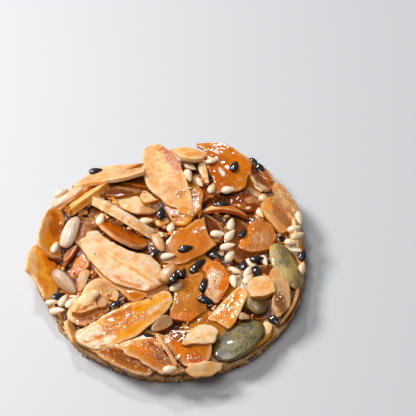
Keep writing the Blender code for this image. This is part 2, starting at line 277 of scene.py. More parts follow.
# Every slice and seed that shows, in the order in which it is laid.
PIECES: tuple[Slice | Kernel, ...] = (
    # The peach patch at (18, 16.3) and the near-white spot at (17.2, 14.2) are painted highlights.
    Slice(16, 15.6, 20, 0, 0, 10, 7.5, tail=0.1, tip=0.2, tone=RUST, shade=0.45, wet=0.9, rim=0, side=RUST,
          pools=(Pool(18, 16.3, 1.6, 0.9, 0, PEACH, 0.4, 1, 1), Pool(14.6, 14.6, 1.8, 0.8, 0, AMBER, 0.5),
          Pool(17.2, 14.2, 0.5, 0.35, 0, FOAM_AND_GLINT, 0.8, 1, 0.8)), outline=((13.3, 17.3), (15.3, 17.7),
          (17.4, 18.1), (18.5, 17.3), (19.4, 15.8), (18.8, 12.8), (17.3, 12.5), (15.4, 13.4), (13.5, 14.1),
          (13.2, 15.6))),
    Slice(-8.4, 19.6, 8, 0, -10, 11, 6, tone=RUST, shade=0.45, other=BROWN, share=0.4, wet=0.95, rim=0,
          side=AMBER, pools=(Pool(-7.2, 18.9, 3.4, 0.4, -14, TAN, 0.5),
          Pool(-7, 20.4, 3.4, 0.3, -12, AMBER, 0.6, 0.5, 0, 0.3))),
    Slice(-6, 14, -12, 0, 8, 12.5, 6.4, bow=0.9, tone=PEACH, other=IVORY, wet=0.3, freckle=0.5, rim=0.3,
          pools=(Pool(-3.4, 13.6, 2.6, 1.6, 10, TAN, 0.8, 0.3), Pool(-8.6, 16.2, 2, 1.2, -30, PEACH, 0.7)),
          outline=((-12.2, 18.2), (-11.4, 15.8), (-5.2, 12), (-1.6, 13), (-1.1, 14.2), (-1.9, 15),
          (-3.6, 15.2), (-5.2, 16.2), (-6.4, 17.4), (-8.4, 18.1), (-10.6, 18.9))),
    Slice(-0.8, -15.8, 25, 0, 5, 11, 6, shade=0.55, other=TAN, share=0.4, rim=0.1, outline=((-3.1, -17.6),
          (-1.7, -17.7), (0, -17.1), (1.7, -15.7), (0.8, -13.5), (-0.3, -13.1), (-2, -14.8))),
    Slice(-7, -3.6, -38, 0, 4, 20, 9, tone=PEACH, other=ORANGE, share=0.4, shade=0.7, wet=0.5, rim=0.3),
    Slice(-7.2, -8.4, -38, 0, 4, 9, 5, tone=ORANGE, shade=0.72, wet=0.7, freckle=0.5, rim=0.3, side=GOLD,
          outline=((-9.3, -7), (-6.4, -7), (-3.3, -7.9), (-3.8, -8.9), (-5.1, -10), (-6.1, -10.5),
          (-7.1, -10.2), (-8.1, -9.1), (-9, -7.9))),
    Slice(3.8, 16.6, -80, 4, 4, 16, 8.2, other=TAN, share=0.3, shade=0.9, wet=0.6, rim=0.15, side=GOLD,
          pools=(Pool(1.3, 12.3, 2.2, 1.3, -60, RUST, 0.8, 0.6), Pool(3.8, 10.4, 1.4, 0.8, 30, GOLD, 0.8),
          Pool(4.6, 12.6, 1.6, 1, -60, ORANGE, 0.6, 0.8)), outline=((1.3, 20.5), (4.6, 21.3), (7.1, 19.4),
          (7.6, 17.5), (7.3, 15.6), (7.3, 13.9), (6.5, 12.6), (5.5, 11.2), (4.5, 9.6), (3.6, 8.8),
          (2.9, 8.8), (1.9, 9.5), (-0.2, 13.8), (-0.1, 17.7))),
    Slice(-8.4, -24, -24, 0, 10, 15.5, 7, shade=0.75, other=DEEP, wet=0.9, froth=0.15, rim=0.45,
          pools=(Pool(-7, -24, 4.4, 1.3, -25, BROWN, 0.55, 1, 0.2),
          Pool(-10.6, -25.4, 3.6, 0.6, -32, GOLD, 0.7)), outline=((-14.3, -22.4), (-13.4, -23.7),
          (-11.8, -24.9), (-8.4, -26.8), (-5.1, -28.3), (-3, -28.6), (-1.9, -26.7), (-4.1, -23.3),
          (-6.9, -20.8), (-11.1, -20.6))),
    Slice(4.7, -9.2, 78, 0, 4, 13, 8, other=ROSE, shade=1.05, wet=0.75, froth=0.15, freckle=0.3, rim=0.15,
          side=ORANGE, pools=(Pool(3.6, -8.9, 1.5, 1.1, -40, CREAM, 0.2, 1, 1),
          Pool(2.4, -10.6, 1.2, 0.7, 60, None, 1, 1, 0.8),
          Pool(4.4, -13.8, 3.4, 1.1, 0, ORANGE, 0.7, 1, 0.5), Pool(7.6, -10.4, 3, 1, 80, BROWN, 0.45, 0.6)),
          outline=((2.1, -5.8), (3.3, -4.6), (7, -2.4), (7.7, -3.3), (7.3, -5.4), (7.6, -9.6), (8.4, -11.7),
          (8.4, -12.8), (7.2, -13.5), (5.9, -14.7), (4.8, -15.5), (3.2, -15.1), (1.6, -15.1), (1, -13.6),
          (1.1, -11.9), (1.7, -10))),
    Slice(-14.3, -10.4, 46, 0, 6, 14.5, 7.4, bow=1, tone=CREAM, shade=1.08, wet=0.5, freckle=0.5, rim=0.8,
          pools=(Pool(-16.3, -14.4, 3.6, 1, 20, ORANGE, 0.85, 1, 0.8),
          Pool(-12, -11.6, 1.8, 1, 45, GOLD, 0.6, 0.8, 0.3),
          Pool(-12.6, -6.6, 2.2, 1.6, 30, TAN, 0.6, 0.7, 0.5)), outline=((-19.8, -13.6), (-18.3, -16),
          (-15.2, -16.4), (-11.7, -13.3), (-9.7, -9.6), (-9.4, -8.4), (-11, -5.8), (-12.6, -4.3),
          (-13.6, -4), (-15.3, -4.7), (-17.1, -7.9), (-18.1, -9.6), (-19.1, -11))),
    # Painted light: shade above 1 brightens this rim slice, which leans away from the lamps, to stand in for
    # light shining through it.
    Slice(-24.7, -3.6, -76, 0, -34, 15.5, 7.2, bow=0.4, tail=0.08, tip=0.12, skew=0.1, tone=ORANGE,
          other=GOLD, share=0.75, shade=1.25, freckle=0.1, rim=0.6, side=PALE,
          pools=(Pool(-22.4, -2.8, 6, 1.6, -66, ORANGE, 0.9, 0.8),
          Pool(-21.2, -3.2, 4.6, 0.8, -66, DEEP, 0.8, 0.8), Pool(-20.5, -2.6, 3.6, 0.5, -70, BROWN, 0.6),
          Pool(-27.4, 0.8, 4, 0.7, -80, PALE, 0.85)), outline=((-27.2, 4.7), (-28, 3.4), (-28.4, 1),
          (-28.6, -1.1), (-28.4, -2.4), (-27.6, -3.3), (-24.8, -8.2), (-24, -9.8), (-23.2, -10),
          (-22.4, -8.9), (-21.7, -7.2), (-20.9, -5.1), (-20, -0.8), (-20.8, 1), (-23.2, 2.8), (-25.5, 4.1))),
    # Painted light: shade above 1 brightens this rim slice, which leans away from the lamps, to stand in for
    # light shining through it.
    Slice(-23.2, 5.8, -98, 0, -36, 15.8, 6.8, bow=0.3, tone=ORANGE, other=GOLD, share=0.25, shade=1.45,
          wet=0.45, freckle=0.1, rim=0.35, side=PALE, pools=(Pool(-24.2, 3, 2.6, 1.2, -80, GOLD, 0.6, 0.6),
          Pool(-25.4, 8.8, 4.4, 0.5, 78, PEACH, 0.8), Pool(-23, 9.5, 3.6, 1.2, -85, DEEP, 0.8),
          Pool(-24.4, 13.2, 1.4, 0.5, 60, GOLD, 0.7)), outline=((-26, 9.9), (-25.5, 11.9), (-24.2, 14.2),
          (-23.4, 14.5), (-22.5, 13.9), (-21.6, 12.5), (-21.1, 10.8), (-21.7, 8.8), (-21.9, 5.6),
          (-21.8, 2.3), (-21.4, 0.3), (-23.1, 0.5), (-24.6, 1.9), (-26, 3.7))),
    Slice(-8.6, 6.9, -33, 0, -32, 17, 8.4, bow=1.2, tone=DEEP, other=ORANGE, share=0.4, shade=0.8, wet=0.8,
          rim=0.15, side=PEACH, pools=(Pool(-9.5, 9.8, 5.5, 1.2, -36, BROWN, 0.75, 0.7),),
          outline=((-16, 12.3), (-14.5, 10), (-8, 4.3), (-6, 3.4), (-4.3, 3.6), (-3.2, 4.6), (-3, 6),
          (-4, 7.5), (-7, 9.5), (-10, 11), (-15, 13.5))),
    # The brown patch on the upper part at (4, -18.4) is painted shadow cast by the slice above it.
    Slice(4, -21.2, -38, 0, 8, 14, 8.4, tone=DEEP, other=AMBER, shade=0.95, wet=0.7, freckle=0.5, rim=0.6,
          pools=(Pool(4, -18.4, 3.6, 1.9, -10, BROWN, 0.85, 0.9, 0.2),
          Pool(6, -24.2, 2.2, 1.3, -20, RUST, 0.8, 1, 0.6), Pool(3, -22, 2.6, 1.2, -60, ORANGE, 0.6),
          Pool(6.2, -26, 3, 0.8, 0, PEACH, 0.7)), outline=((0.3, -18.6), (1.8, -17.2), (4.9, -16.9),
          (8.9, -18.2), (9.4, -20.3), (8.6, -25), (7.9, -26.1), (6.6, -26.6), (3.9, -26.1), (2.1, -23.7),
          (0.1, -20.6), (-0.2, -19.4))),
    Slice(-3, -24, -32, 0, 12, 14.5, 7.8, bow=0.5, tail=0.16, skew=0.1, tone=DEEP, other=GOLD, share=0.35,
          shade=0.85, wet=0.6, freckle=0.5, rim=0.45, ragged=2.4,
          pools=(Pool(-1.4, -22.6, 4, 1.3, -45, BROWN, 0.75, 1, 0.5),
          Pool(-4.6, -21.4, 2.4, 1.2, -20, ORANGE, 0.6, 0.9, 0.3)), outline=((-10.2, -21.9), (-9.3, -20.8),
          (-6.9, -19.3), (-4.1, -18.6), (-2.2, -19.1), (-0.6, -21.6), (2.3, -25), (3.7, -26.2), (4, -27.3),
          (2.6, -27.9), (-0.2, -28.2), (-2.2, -27.3), (-3.3, -26.4), (-4.5, -25.8), (-5, -24.8),
          (-5.8, -24.3), (-6.8, -24.1), (-7.8, -23.2), (-8.6, -22.4), (-9.1, -22.3))),
    # The two ivory froth patches are partly pale froth and partly painted highlight.
    Slice(10.6, -5.6, 86, 0, 6, 12.5, 6.4, bow=0.9, tone=ORANGE, shade=0.95, wet=0.9, froth=0.35, rim=0.2,
          side=ORANGE, pools=(Pool(9.8, -4.2, 2.3, 1.6, 70, IVORY, 0.7, 1, 1),
          Pool(9.6, -8.4, 1.9, 1.2, 60, IVORY, 0.6, 1, 1), Pool(12, -4.6, 2.6, 1, 80, ORANGE, 0.6, 1)),
          outline=((7.6, -2.4), (8.3, -0.2), (9.7, 0.5), (11, 0.3), (11.2, -0.2), (12.4, -1.8), (13.2, -4),
          (12.2, -8.1), (10.4, -11.2), (9.6, -10.6), (8.3, -8.9), (8.1, -7.3), (8.6, -5.4), (8.4, -3.5))),
    # The brown patch along the inner half is painted shade of the recess beside it; the peach froth spot at
    # (20.6, 19.6) is a painted highlight.
    Slice(20, 23, -48, 0, -24, 11, 4.5, bow=0.4, tone=RUST, other=ROSE, share=0.4, wet=0.8, froth=0.15,
          rim=0.2, side=PALE, held=4, ragged=1.6, pools=(Pool(19, 22.6, 4.4, 1.1, -58, BROWN, 0.9, 1, 0.5),
          Pool(20.6, 23.2, 3, 0.6, -60, RUST, 0.8, 0.6, 0, 0.5), Pool(22.4, 21.8, 3.2, 0.4, -66, PEACH, 0.8),
          Pool(20.6, 19.6, 0.9, 0.5, -30, PEACH, 0.5, 1, 1)), outline=((17.6, 26.2), (19.6, 26.2),
          (21.4, 24.4), (22.9, 21.8), (23.3, 19.2), (21, 18.4), (18.8, 20.8), (17.4, 23.4))),
    # The three small near-white spots are painted highlights.
    Slice(11.4, 23.6, -38, 0, 14, 17, 12, bow=0.9, tone=ORANGE, other=AMBER, share=0.3, shade=0.78, wet=0.75,
          freckle=0.1, rim=0.2, side=ORANGE, ragged=1.6,
          pools=(Pool(10.8, 25.4, 4.8, 2.6, -75, RUST, 0.75, 1, 0.08),
          Pool(10.7, 29.3, 0.7, 0.35, -40, FOAM_AND_GLINT, 0.9, 1, 0.9),
          Pool(11.7, 23.6, 1, 0.35, -60, FOAM_AND_GLINT, 0.9, 1, 0.9),
          Pool(12.8, 25.2, 0.4, 0.3, 0, FOAM_AND_GLINT, 0.9, 1, 0.7),
          Pool(11.4, 19.6, 2.8, 1.7, -30, DEEP, 0.8, 1, 0.2), Pool(15.6, 26.4, 3.4, 1, -48, ORANGE, 0.6, 1)),
          outline=((6, 31.6), (8.6, 32), (13.4, 31.1), (15.5, 29.2), (17.2, 27.8), (18, 26.3), (17.7, 24.4),
          (17.9, 23), (17, 21.7), (16.6, 19.6), (15.4, 18.2), (13.5, 17.7), (11.3, 17.7), (10, 16.8),
          (9.5, 15.8), (9, 18.3), (9.8, 20.5), (9, 23.2), (7.8, 27.4), (8.1, 29.2), (6.3, 30.5))),
    Slice(19.3, 6, 68, 0, 4, 10.5, 7.4, bow=1.2, thick=1.7, tone=ROSE, shade=1.05, wet=0.6, rim=0.1,
          side=ORANGE, pools=(Pool(16.4, 5.6, 4.2, 0.9, 66, ORANGE, 0.9, 1, 0.4),
          Pool(19.6, 6.4, 2.4, 1.6, 60, TAN, 0.45, 0.5)), outline=((18.6, 11.2), (20.2, 11.1), (22.4, 8.6),
          (22.7, 5.6), (22, 3.9), (21.2, 2.5), (19.5, 1.9), (18.3, 1.6), (16.6, 2), (15.3, 2.7), (14.9, 3.4),
          (15.5, 5.4), (16.2, 7.2), (17.7, 10.4))),
    Slice(5, 4.8, 36, 0, 6, 13.5, 9.6, tip=0.2, skew=-0.16, tone=ORANGE, other=TAN, share=0.3, shade=0.95,
          wet=0.8, rim=0.35, side=GOLD, pools=(Pool(5.4, 1.4, 4.6, 1.5, 22, ROSE, 0.5, 0.7),
          Pool(6.8, 8.4, 1.6, 0.8, 30, None, 1, 1, 0.7), Pool(0.6, 4.2, 1.6, 0.7, 60, PALE, 0.3, 1, 0.6)),
          outline=((-1.5, 1), (-0.3, 4.6), (0.9, 6.7), (2, 8.3), (3.5, 8.8), (6.4, 11.2), (7.7, 11.5),
          (9.2, 6.3), (10.7, 4.4), (7.4, 1.3), (5.7, 0.3), (2.4, -1.3), (0.5, -1), (-0.9, -0.4))),
    Kernel(17.7, -8.2, -68, 0, 10.5, 5.8, 2.6, True, (0.98, 0.64, 0.22)),
    Kernel(24.8, -1, -70, -24, 12.6, 6.4, 2.6, True, (1.65, 1.35, 1.1)),
    # The three small near-white spots are painted glints on the glaze.
    Slice(-8.3, -15.1, 208, 0, -8, 22, 8, bow=0.7, tone=GOLD, other=YELLOW, share=0.25, wet=0.75, rim=0.7,
          side=PALE, heft=1, pools=(Pool(-14.4, -19, 4.6, 2.8, 15, IVORY, 0.95, 0.6, 0.25),
          Pool(-3.2, -12.6, 5.6, 0.7, 42, IVORY, 0.7),
          Pool(-8.2, -14.6, 4.6, 1.9, 27, ORANGE, 0.75, 1, 0.75),
          Pool(-9.6, -13, 3, 0.6, 30, DEEP, 0.7, 1, 0.3), Pool(-11, -14.4, 0.6, 0.3, 30, FOAM_AND_GLINT, 0.9, 1, 1),
          Pool(-9.2, -16, 0.5, 0.3, 20, FOAM_AND_GLINT, 0.9, 1, 1), Pool(-7.6, -13.4, 0.5, 0.3, 40, FOAM_AND_GLINT, 0.8, 1, 1),
          Pool(-15.6, -19.8, 0.8, 0.4, 10, ORANGE, 0.8, 1),
          Pool(-13.2, -18.6, 1.1, 0.5, 30, ORANGE, 0.85, 1), Pool(-14.4, -20.9, 0.6, 0.3, 0, ORANGE, 0.8, 1),
          Pool(-12.4, -20.8, 0.9, 0.4, 0, ORANGE, 0.85, 1),
          Pool(-10.6, -17.4, 1.6, 0.9, 20, ORANGE, 0.7, 1, 0.5)), outline=((-17.6, -17), (-17.9, -18.2),
          (-17.6, -19.5), (-16.9, -21), (-15.3, -21.9), (-13.9, -22.5), (-12.2, -22.1), (-10.3, -21.6),
          (-8.9, -20.8), (-6.9, -19.9), (-5.3, -18.8), (-3.4, -16.9), (-1.7, -15.4), (-0.2, -13.6),
          (1.4, -8.8), (0.8, -7.6), (-0.1, -7.3), (-1.3, -7.6), (-2.8, -8.8), (-4.9, -9.6), (-7.8, -10.7),
          (-11.6, -12.9), (-15.6, -16), (-16.9, -16.6))),
    Slice(-8.5, 0.4, 141, 0, -8, 22.4, 9.4, bow=0.8, tip=0.03, thick=1.4, tone=IVORY, other=PEACH,
          share=0.55, shade=0.9, wet=0.35, freckle=0.5, heft=0.95, ragged=1.4,
          pools=(Pool(-8.5, 1.6, 8.5, 1.5, -38, CREAM, 0.5),
          Pool(-6, -2.6, 6.5, 1.4, -37, PALE, 0.6, lift=0.25),
          Pool(-8, -1, 7.5, 0.3, -37, GOLD, 0.5, lift=-0.2),
          Pool(-10.5, 2.2, 5.5, 0.25, -38, GOLD, 0.4, lift=-0.12),
          Pool(-4.8, -6.4, 1.3, 0.6, 10, IVORY, 0.7, lift=-0.3),
          Pool(-2.6, -6.6, 1.4, 0.5, 30, ORANGE, 0.75, 0.6),
          Pool(-7.4, -5.4, 2.6, 0.45, -24, ORANGE, 0.8, 0.7),
          Pool(-10, -3.9, 0.9, 0.5, -30, ORANGE, 0.8, 0.6), Pool(-4.6, -3.4, 3.4, 0.35, -40, GOLD, 0.8),
          Pool(-1.8, -3.4, 0.8, 0.9, 60, GOLD, 0.6, 0.6), Pool(-16.8, 5.4, 1, 0.6, 0, GOLD, 0.6),
          Pool(-13.4, 1.6, 0.8, 0.3, -50, GOLD, 0.7)), outline=((-18.1, 5.6), (-17.5, 6.1), (-16.7, 6.6),
          (-16.6, 7.7), (-14.6, 8.3), (-12.9, 6.5), (-8.5, 3.5), (-6.9, 2.6), (-4.7, 2.2), (-3.3, 1.6),
          (-2, 0.3), (-1.1, -1.1), (-0.8, -2.9), (0.2, -5), (-0.1, -5.9), (-1.3, -6.9), (-4.7, -8.2),
          (-6.4, -7.6), (-11.1, -5.8), (-12.6, -4.2), (-14.7, -1.8), (-17.3, 3))),
    Slice(12.4, -12.4, 58, 4, -6, 12.5, 5.8, bow=0.4, tail=0.26, skew=0.05, tone=GOLD, other=ORANGE,
          share=0.6, wet=0.8, freckle=0.1, side=PEACH,
          pools=(Pool(12.3, -12.4, 2.4, 1.3, 62, ORANGE, 0.9, 1, 0.45),
          Pool(15.6, -9.6, 4.4, 0.9, 68, PEACH, 0.85), Pool(15.4, -7, 1.2, 0.9, 60, CREAM, 0.8)),
          outline=((8.3, -14.7), (9.3, -12.9), (10.6, -11.3), (12.3, -9.1), (15.1, -6.2), (16.1, -5.8),
          (16.6, -7), (15.7, -11.2), (13.7, -16), (12.8, -17.5), (11.5, -16.5), (10, -15.4), (9.2, -15.3))),
    Slice(7.1, -18.9, 20, 0, 8, 11, 4.6, bow=0.4, tail=0.1, tip=0.22, skew=0.03, tone=PALE, other=IVORY,
          share=0.3, wet=0.25, freckle=0.25, rim=0.2, pools=(Pool(3.9, -20.2, 1, 0.7, 30, GOLD, 0.6),
          Pool(8, -20.4, 3, 0.5, 0, PEACH, 0.7)), outline=((3.1, -20.9), (4.4, -18.3), (6, -16.3),
          (8.9, -15.6), (10.8, -17), (9.9, -20.7), (7.5, -21), (5.8, -20.8), (3.6, -21.2))),
    # The froth spot at (23.2, -8.1) is there for its painted glint dots.
    Slice(23.5, -7.4, -87, 0, -8, 13.5, 4.4, bow=0.8, thick=1.4, tone=TAN, shade=1.1, rim=0.4, side=TAN,
          pools=(Pool(23.4, -10.2, 2.6, 1.1, -82, BROWN, 0.85, 1, 0.3),
          Pool(23.2, -8.1, 0.9, 0.6, 0, None, 1, 1, 1), Pool(23.4, -3, 2.2, 1.4, -80, PEACH, 0.5)),
          outline=((21.5, -2.1), (22.2, -1.2), (23.1, -0.7), (24, -1.6), (25.2, -5.4), (25.4, -7.9),
          (24.9, -12.2), (22.9, -14.7), (22.2, -12.9), (21.6, -11), (21.9, -8.9), (22.3, -7.2),
          (21.8, -4.7))),
    # The orange line at (-16.6, -11.7) is a painted shadow along the step between the raised upper layer and
    # the lower ledge.
    Slice(-15.6, -9.4, 22, 0, 6, 7.5, 4.6, bow=0.2, tail=0.2, tip=0.26, skew=0.08, thick=2, tone=PALE,
          wet=0.3, rim=0.3, side=GOLD, pools=(Pool(-16.4, -9.6, 2.8, 1.7, 26, None, 1, lift=0.45),
          Pool(-16.6, -11.7, 2.9, 0.3, 27, ORANGE, 0.9), Pool(-15.4, -8.4, 1.6, 1, 20, IVORY, 0.6)),
          outline=((-19.1, -13.2), (-17, -8.1), (-13.9, -6.6), (-13.3, -8.3), (-14.2, -9.9), (-13.3, -11.8),
          (-17.1, -13.4))),
    Slice(-12.3, -10, -50, 0, 0, 4.2, 2.8, bow=0.1, tail=0.2, tip=0.25, thick=1.5, tone=TAN, shade=1.05,
          wet=0.3, rim=0.1, side=ORANGE, outline=((-14, -9.7), (-12.7, -8.5), (-11.8, -10.3), (-12.3, -11.7),
          (-13.5, -11.8))),
    Slice(19.5, -6.6, 14, 0, 4, 7.6, 5.8, bow=0.2, tail=0.2, tip=0.28, skew=0.06, thick=2, tone=PEACH,
          wet=0.35, freckle=0.4, side=GOLD, pools=(Pool(19.4, -6.2, 2.2, 1.4, -20, GOLD, 0.5, 0.5),),
          outline=((16.6, -6.2), (17.4, -4.4), (20.9, -3.2), (21.9, -4.6), (22.3, -8.2), (20.8, -9.1),
          (17.5, -9.6))),
    Slice(23.5, 12, -63, 0, 4, 13.5, 4.8, bow=0.2, tail=0.18, tip=0.24, skew=-0.12, thick=1.6, other=TAN,
          share=0.4, shade=0.95, wet=0.15, rim=0.4, side=GOLD,
          pools=(Pool(24.2, 11.8, 4.4, 1.2, -60, BROWN, 0.6, 0.15),
          Pool(21.4, 14.6, 1.6, 0.8, -60, GOLD, 0.6)), outline=((21.6, 17.4), (28, 9), (23.8, 6.5),
          (21.5, 10.2), (19.8, 13.8), (19.9, 15.4))),
    Slice(25.2, 16.2, -62, 0, -20, 10.5, 2.4, bow=0.4, thick=1.6, tone=ORANGE, other=TAN, wet=0.8, froth=0.5,
          side=TAN, heft=1.1),
    Slice(12, 13.8, -6, 0, -30, 10.5, 2.6, bow=1.7, tone=ORANGE, shade=0.8, wet=0.45, side=DEEP,
          pools=(Pool(8.6, 14.2, 2, 1.4, 0, PALE, 0.8),)),
    Slice(-11.2, 23.2, 17, 2, -32, 20, 6.6, bow=0.9, tone=CREAM, other=PEACH, freckle=0.5, side=PALE,
          pools=(Pool(-8, 24.6, 4.4, 1, 15, TAN, 0.45), Pool(-11, 20.8, 5, 0.5, 17, GOLD, 0.6)),
          outline=((-20.4, 19.9), (-18.3, 21.8), (-14.1, 25.3), (-11.5, 25.7), (-4.9, 26.2), (-5, 23.3),
          (-8.5, 21.9), (-14.6, 20.6), (-17.7, 19.9), (-19.3, 19.2))),
    # The near-white line along the middle is a painted highlight on the ridge.
    Slice(-8.9, 12.3, -36, 0, -50, 18, 3.8, bow=0.4, tail=0.03, tip=0.05, tone=PALE, wet=0.6, froth=0.4,
          side=PEACH, heft=1.6, pools=(Pool(-9, 12.9, 8.6, 0.3, -37, FOAM_AND_GLINT, 0.6, 0.8, 0.8, 0.3),
          Pool(-9.3, 12.3, 8.6, 0.25, -37, TAN, 0.7, lift=-0.2),
          Pool(-4.2, 8.8, 1.6, 0.6, -40, GOLD, 0.7, 0.8))),
    Slice(-16.8, 17, 43, 0, -46, 13, 4.2, bow=0.3, tail=0.08, tip=0.06, tone=PALE, other=GOLD, share=0.6,
          shade=1.2, wet=0.5, side=GOLD, heft=1.4),
    Slice(0.3, 20.6, -72, 0, 6, 22, 9.4, bow=0.8, tip=0.12, tone=CREAM, other=GOLD, share=0.55, shade=0.9,
          wet=0.35, freckle=0.5, rim=0.7, heft=0.95, pools=(Pool(-0.6, 25.2, 5.4, 2.8, -70, GOLD, 0.55, 0.6),
          Pool(0.9, 27.6, 3.4, 1.5, -58, RUST, 0.9, 0.5, 0.25), Pool(-1.8, 19, 3.4, 1.6, -66, PEACH, 0.7),
          Pool(4, 13.4, 1.6, 0.9, -40, ORANGE, 0.6, 0.8), Pool(-3.4, 25.3, 0.8, 0.6, 0, ORANGE, 0.7, 0.5),
          Pool(-1.7, 24.6, 0.5, 0.4, 0, ORANGE, 0.6), Pool(-3.3, 21.3, 0.6, 0.5, 0, ORANGE, 0.6),
          Pool(-1.2, 22.6, 0.6, 0.5, 0, ORANGE, 0.6), Pool(0.5, 21.1, 0.7, 0.5, 0, ORANGE, 0.6, 0.5),
          Pool(2.8, 18, 1.2, 0.9, 30, RUST, 0.6, 1, 0.8), Pool(3.4, 13, 2, 0.8, 0, GOLD, 0.6, 0.6)),
          outline=((-5.1, 29.6), (-4.7, 30.6), (-1.8, 31.5), (-0.9, 30.9), (1.5, 28.4), (3.4, 23.6),
          (5.6, 13.4), (5.5, 11.3), (2.6, 12), (2.2, 13.5), (0.8, 13.8), (-0.2, 14.5), (-1.3, 16.1),
          (-2.5, 16.9), (-5, 22.6), (-5.4, 24.9), (-5.3, 27.2))),
    Slice(4.5, 29.4, -8, 0, -21, 9.4, 4.4, bow=0.8, tip=0.1, tone=GOLD, other=PEACH, share=0.45, wet=0.5,
          rim=0.7, side=PALE, heft=0.9, outline=((0.4, 30), (1.4, 30.5), (6.6, 30), (8.1, 29), (8.4, 28),
          (7.6, 27.2), (5, 26.8), (1.4, 28.8))),
    Slice(7.9, 24.2, -68, 0, 0, 7, 2.2, bow=0.2, tip=0.1, tone=PEACH, wet=0.5, side=ORANGE,
          outline=((6.6, 25.7), (7.1, 26.5), (7.7, 26.7), (8.1, 25.9), (8.7, 22.4), (8.9, 20.9), (8.4, 20.2),
          (8.1, 20.5), (7.4, 22.4), (6.8, 24))),
    Slice(-3.6, 16.6, -10, 0, 0, 5.6, 3.4, bow=0.1, tail=0.2, tip=0.3, thick=1.6, tone=PEACH, shade=0.95,
          side=GOLD, outline=((-5.6, 17.8), (-5, 18.4), (-3.8, 18.3), (-2.6, 17), (-1.4, 16.2), (-2.8, 15.6),
          (-4.9, 15.2), (-5.5, 16.4))),
    Slice(-0.8, 10.2, 20, 0, 0, 4, 1.6, bow=0.1, tail=0.1, tip=0.2, tone=GOLD, side=GOLD),
    Slice(-18, -1.6, -70, 0, 14, 8.4, 5, bow=0.7, tone=ORANGE, shade=0.85, wet=0.9, froth=0.5, rim=0.1,
          side=ORANGE, outline=((-18.5, 0.8), (-17.7, 1.7), (-16.8, 1.8), (-16.3, 0.7), (-15.8, -0.6),
          (-16.1, -1.8), (-17.9, -3.5), (-18.4, -5.1), (-19.2, -4.3), (-19.8, -2.9), (-19.3, -1.1))),
    Slice(-17, -4.2, -80, 0, -20, 8, 2.8, bow=0.3, tone=PALE, freckle=0.6, side=ORANGE,
          outline=((-17.3, -1.8), (-15.7, -1.8), (-15.4, -2.9), (-15.9, -4.3), (-16.4, -6.1), (-17.1, -7.7),
          (-17.7, -7.8), (-17.8, -7), (-17.6, -5.6), (-18.3, -5.1))),
    Slice(-19.7, 2, 62, 0, -30, 5, 2, bow=0.2, tone=RUST, shade=0.65, side=RUST),
    Slice(20.8, -16.6, -65, 0, 16, 6.4, 3.2, bow=0.3, tail=0.1, tone=PEACH, freckle=0.5, side=TAN,
          outline=((19.9, -14.7), (21.1, -15.2), (21.6, -16), (21.5, -16.9), (20.3, -19.4), (19.7, -16.2))),
    Kernel(14.7, -19.6, 42, -10, 12.8, 7.6, 2.6, True, (0.56, 0.49, 0.06)),
    Slice(16, -13.8, -12, 0, 10, 4.4, 2.6, bow=0.2, tip=0.2, tone=TAN, shade=0.3, side=ROSE,
          outline=((15.2, -12.6), (16.1, -12.8), (17.3, -14.3), (15.8, -14.7), (14.7, -14.5))),
    Slice(-18.9, -17.6, -72, 0, -50, 6, 2.6, bow=0.3, tone=PEACH, other=ORANGE, share=0.3, side=PALE),
    Slice(8, -26.4, 10, 0, 20, 7.5, 3, bow=0.5, tone=TAN, other=PEACH, share=0.3, shade=0.85, side=PEACH,
          ragged=2.4),
    Slice(27.2, 7.4, -86, 0, -60, 8, 3, bow=0.4, tone=GOLD, wet=0.9, froth=0.6, side=PEACH),
    Kernel(-20, 7.8, 72, 10, 8.4, 3.2, 2.2, False, (1, 0.93, 0.88)),
    Kernel(-20.8, -5.2, -50, 20, 7.6, 3, 2.2, False, (0.56, 0.39, 0.22)),
    Kernel(-21, 17, 40, -20, 8.2, 2.8, 2.2, False, (1.1, 0.88, 0.68)),
    Kernel(0.5, -2.6, 60, 0, 5.4, 3.2, 2.2, False, (0.72, 0.4, 0.12)),
    Kernel(-1.6, 5, -68, 0, 5, 2.2, 1.8, False, (0.85, 0.5, 0.2)),
)

# Laid last, after the sesame seeds.
EXTRAS: tuple[Slice, ...] = (
    Slice(0.6, -21.8, -62, 0, -62, 8.6, 1.7, bow=0.2, thick=0.9, tone=PALE, wet=0.5, rim=0.6, side=ORANGE),
)

# Seen place across, seen place back and turn of each seed.
PALE_SESAME: tuple[tuple[float, float, float], ...] = (
    (4.8, 27.0, -20), (9.8, 27.0, 25), (4.5, 22.8, -70), (6.6, 21.0, -50), (9.5, 19.5, 75),
    (13.0, 19.0, 10), (19.5, 20.0, -65), (20.5, 17.2, 60), (19.5, 12.8, -60), (13.5, 9.8, 80),
    (13.3, 6.9, 55), (10.8, 7.2, 0), (12.8, 4.0, 10), (13.3, 1.5, 60), (0.3, 1.5, 5),
    (-4.2, 10.7, 5), (-13.8, 11.2, 75), (1.0, 9.2, 80), (20.3, 0.3, -70), (17.7, -0.5, -50),
    (14.2, -2.4, -25), (13.9, -5.0, -80), (17.0, -4.3, 60), (27.3, 6.9, 30), (26.0, 5.2, 0),
    (26.8, 3.3, -25), (28.0, -1.6, 75), (27.7, 11.4, -80), (-23.0, 3.8, 75), (-22.9, -10.2, 10),
    (-21.9, -12.3, 0), (-20.8, -9.8, 65), (-19.0, -10.2, 50), (1.3, -26.3, 15), (-22.3, 18.1, 30),
    (4.9, 25.3, -40), (26.6, 8.7, 20), (2.2, -6.3, 40), (16.9, -2.6, 70),
)
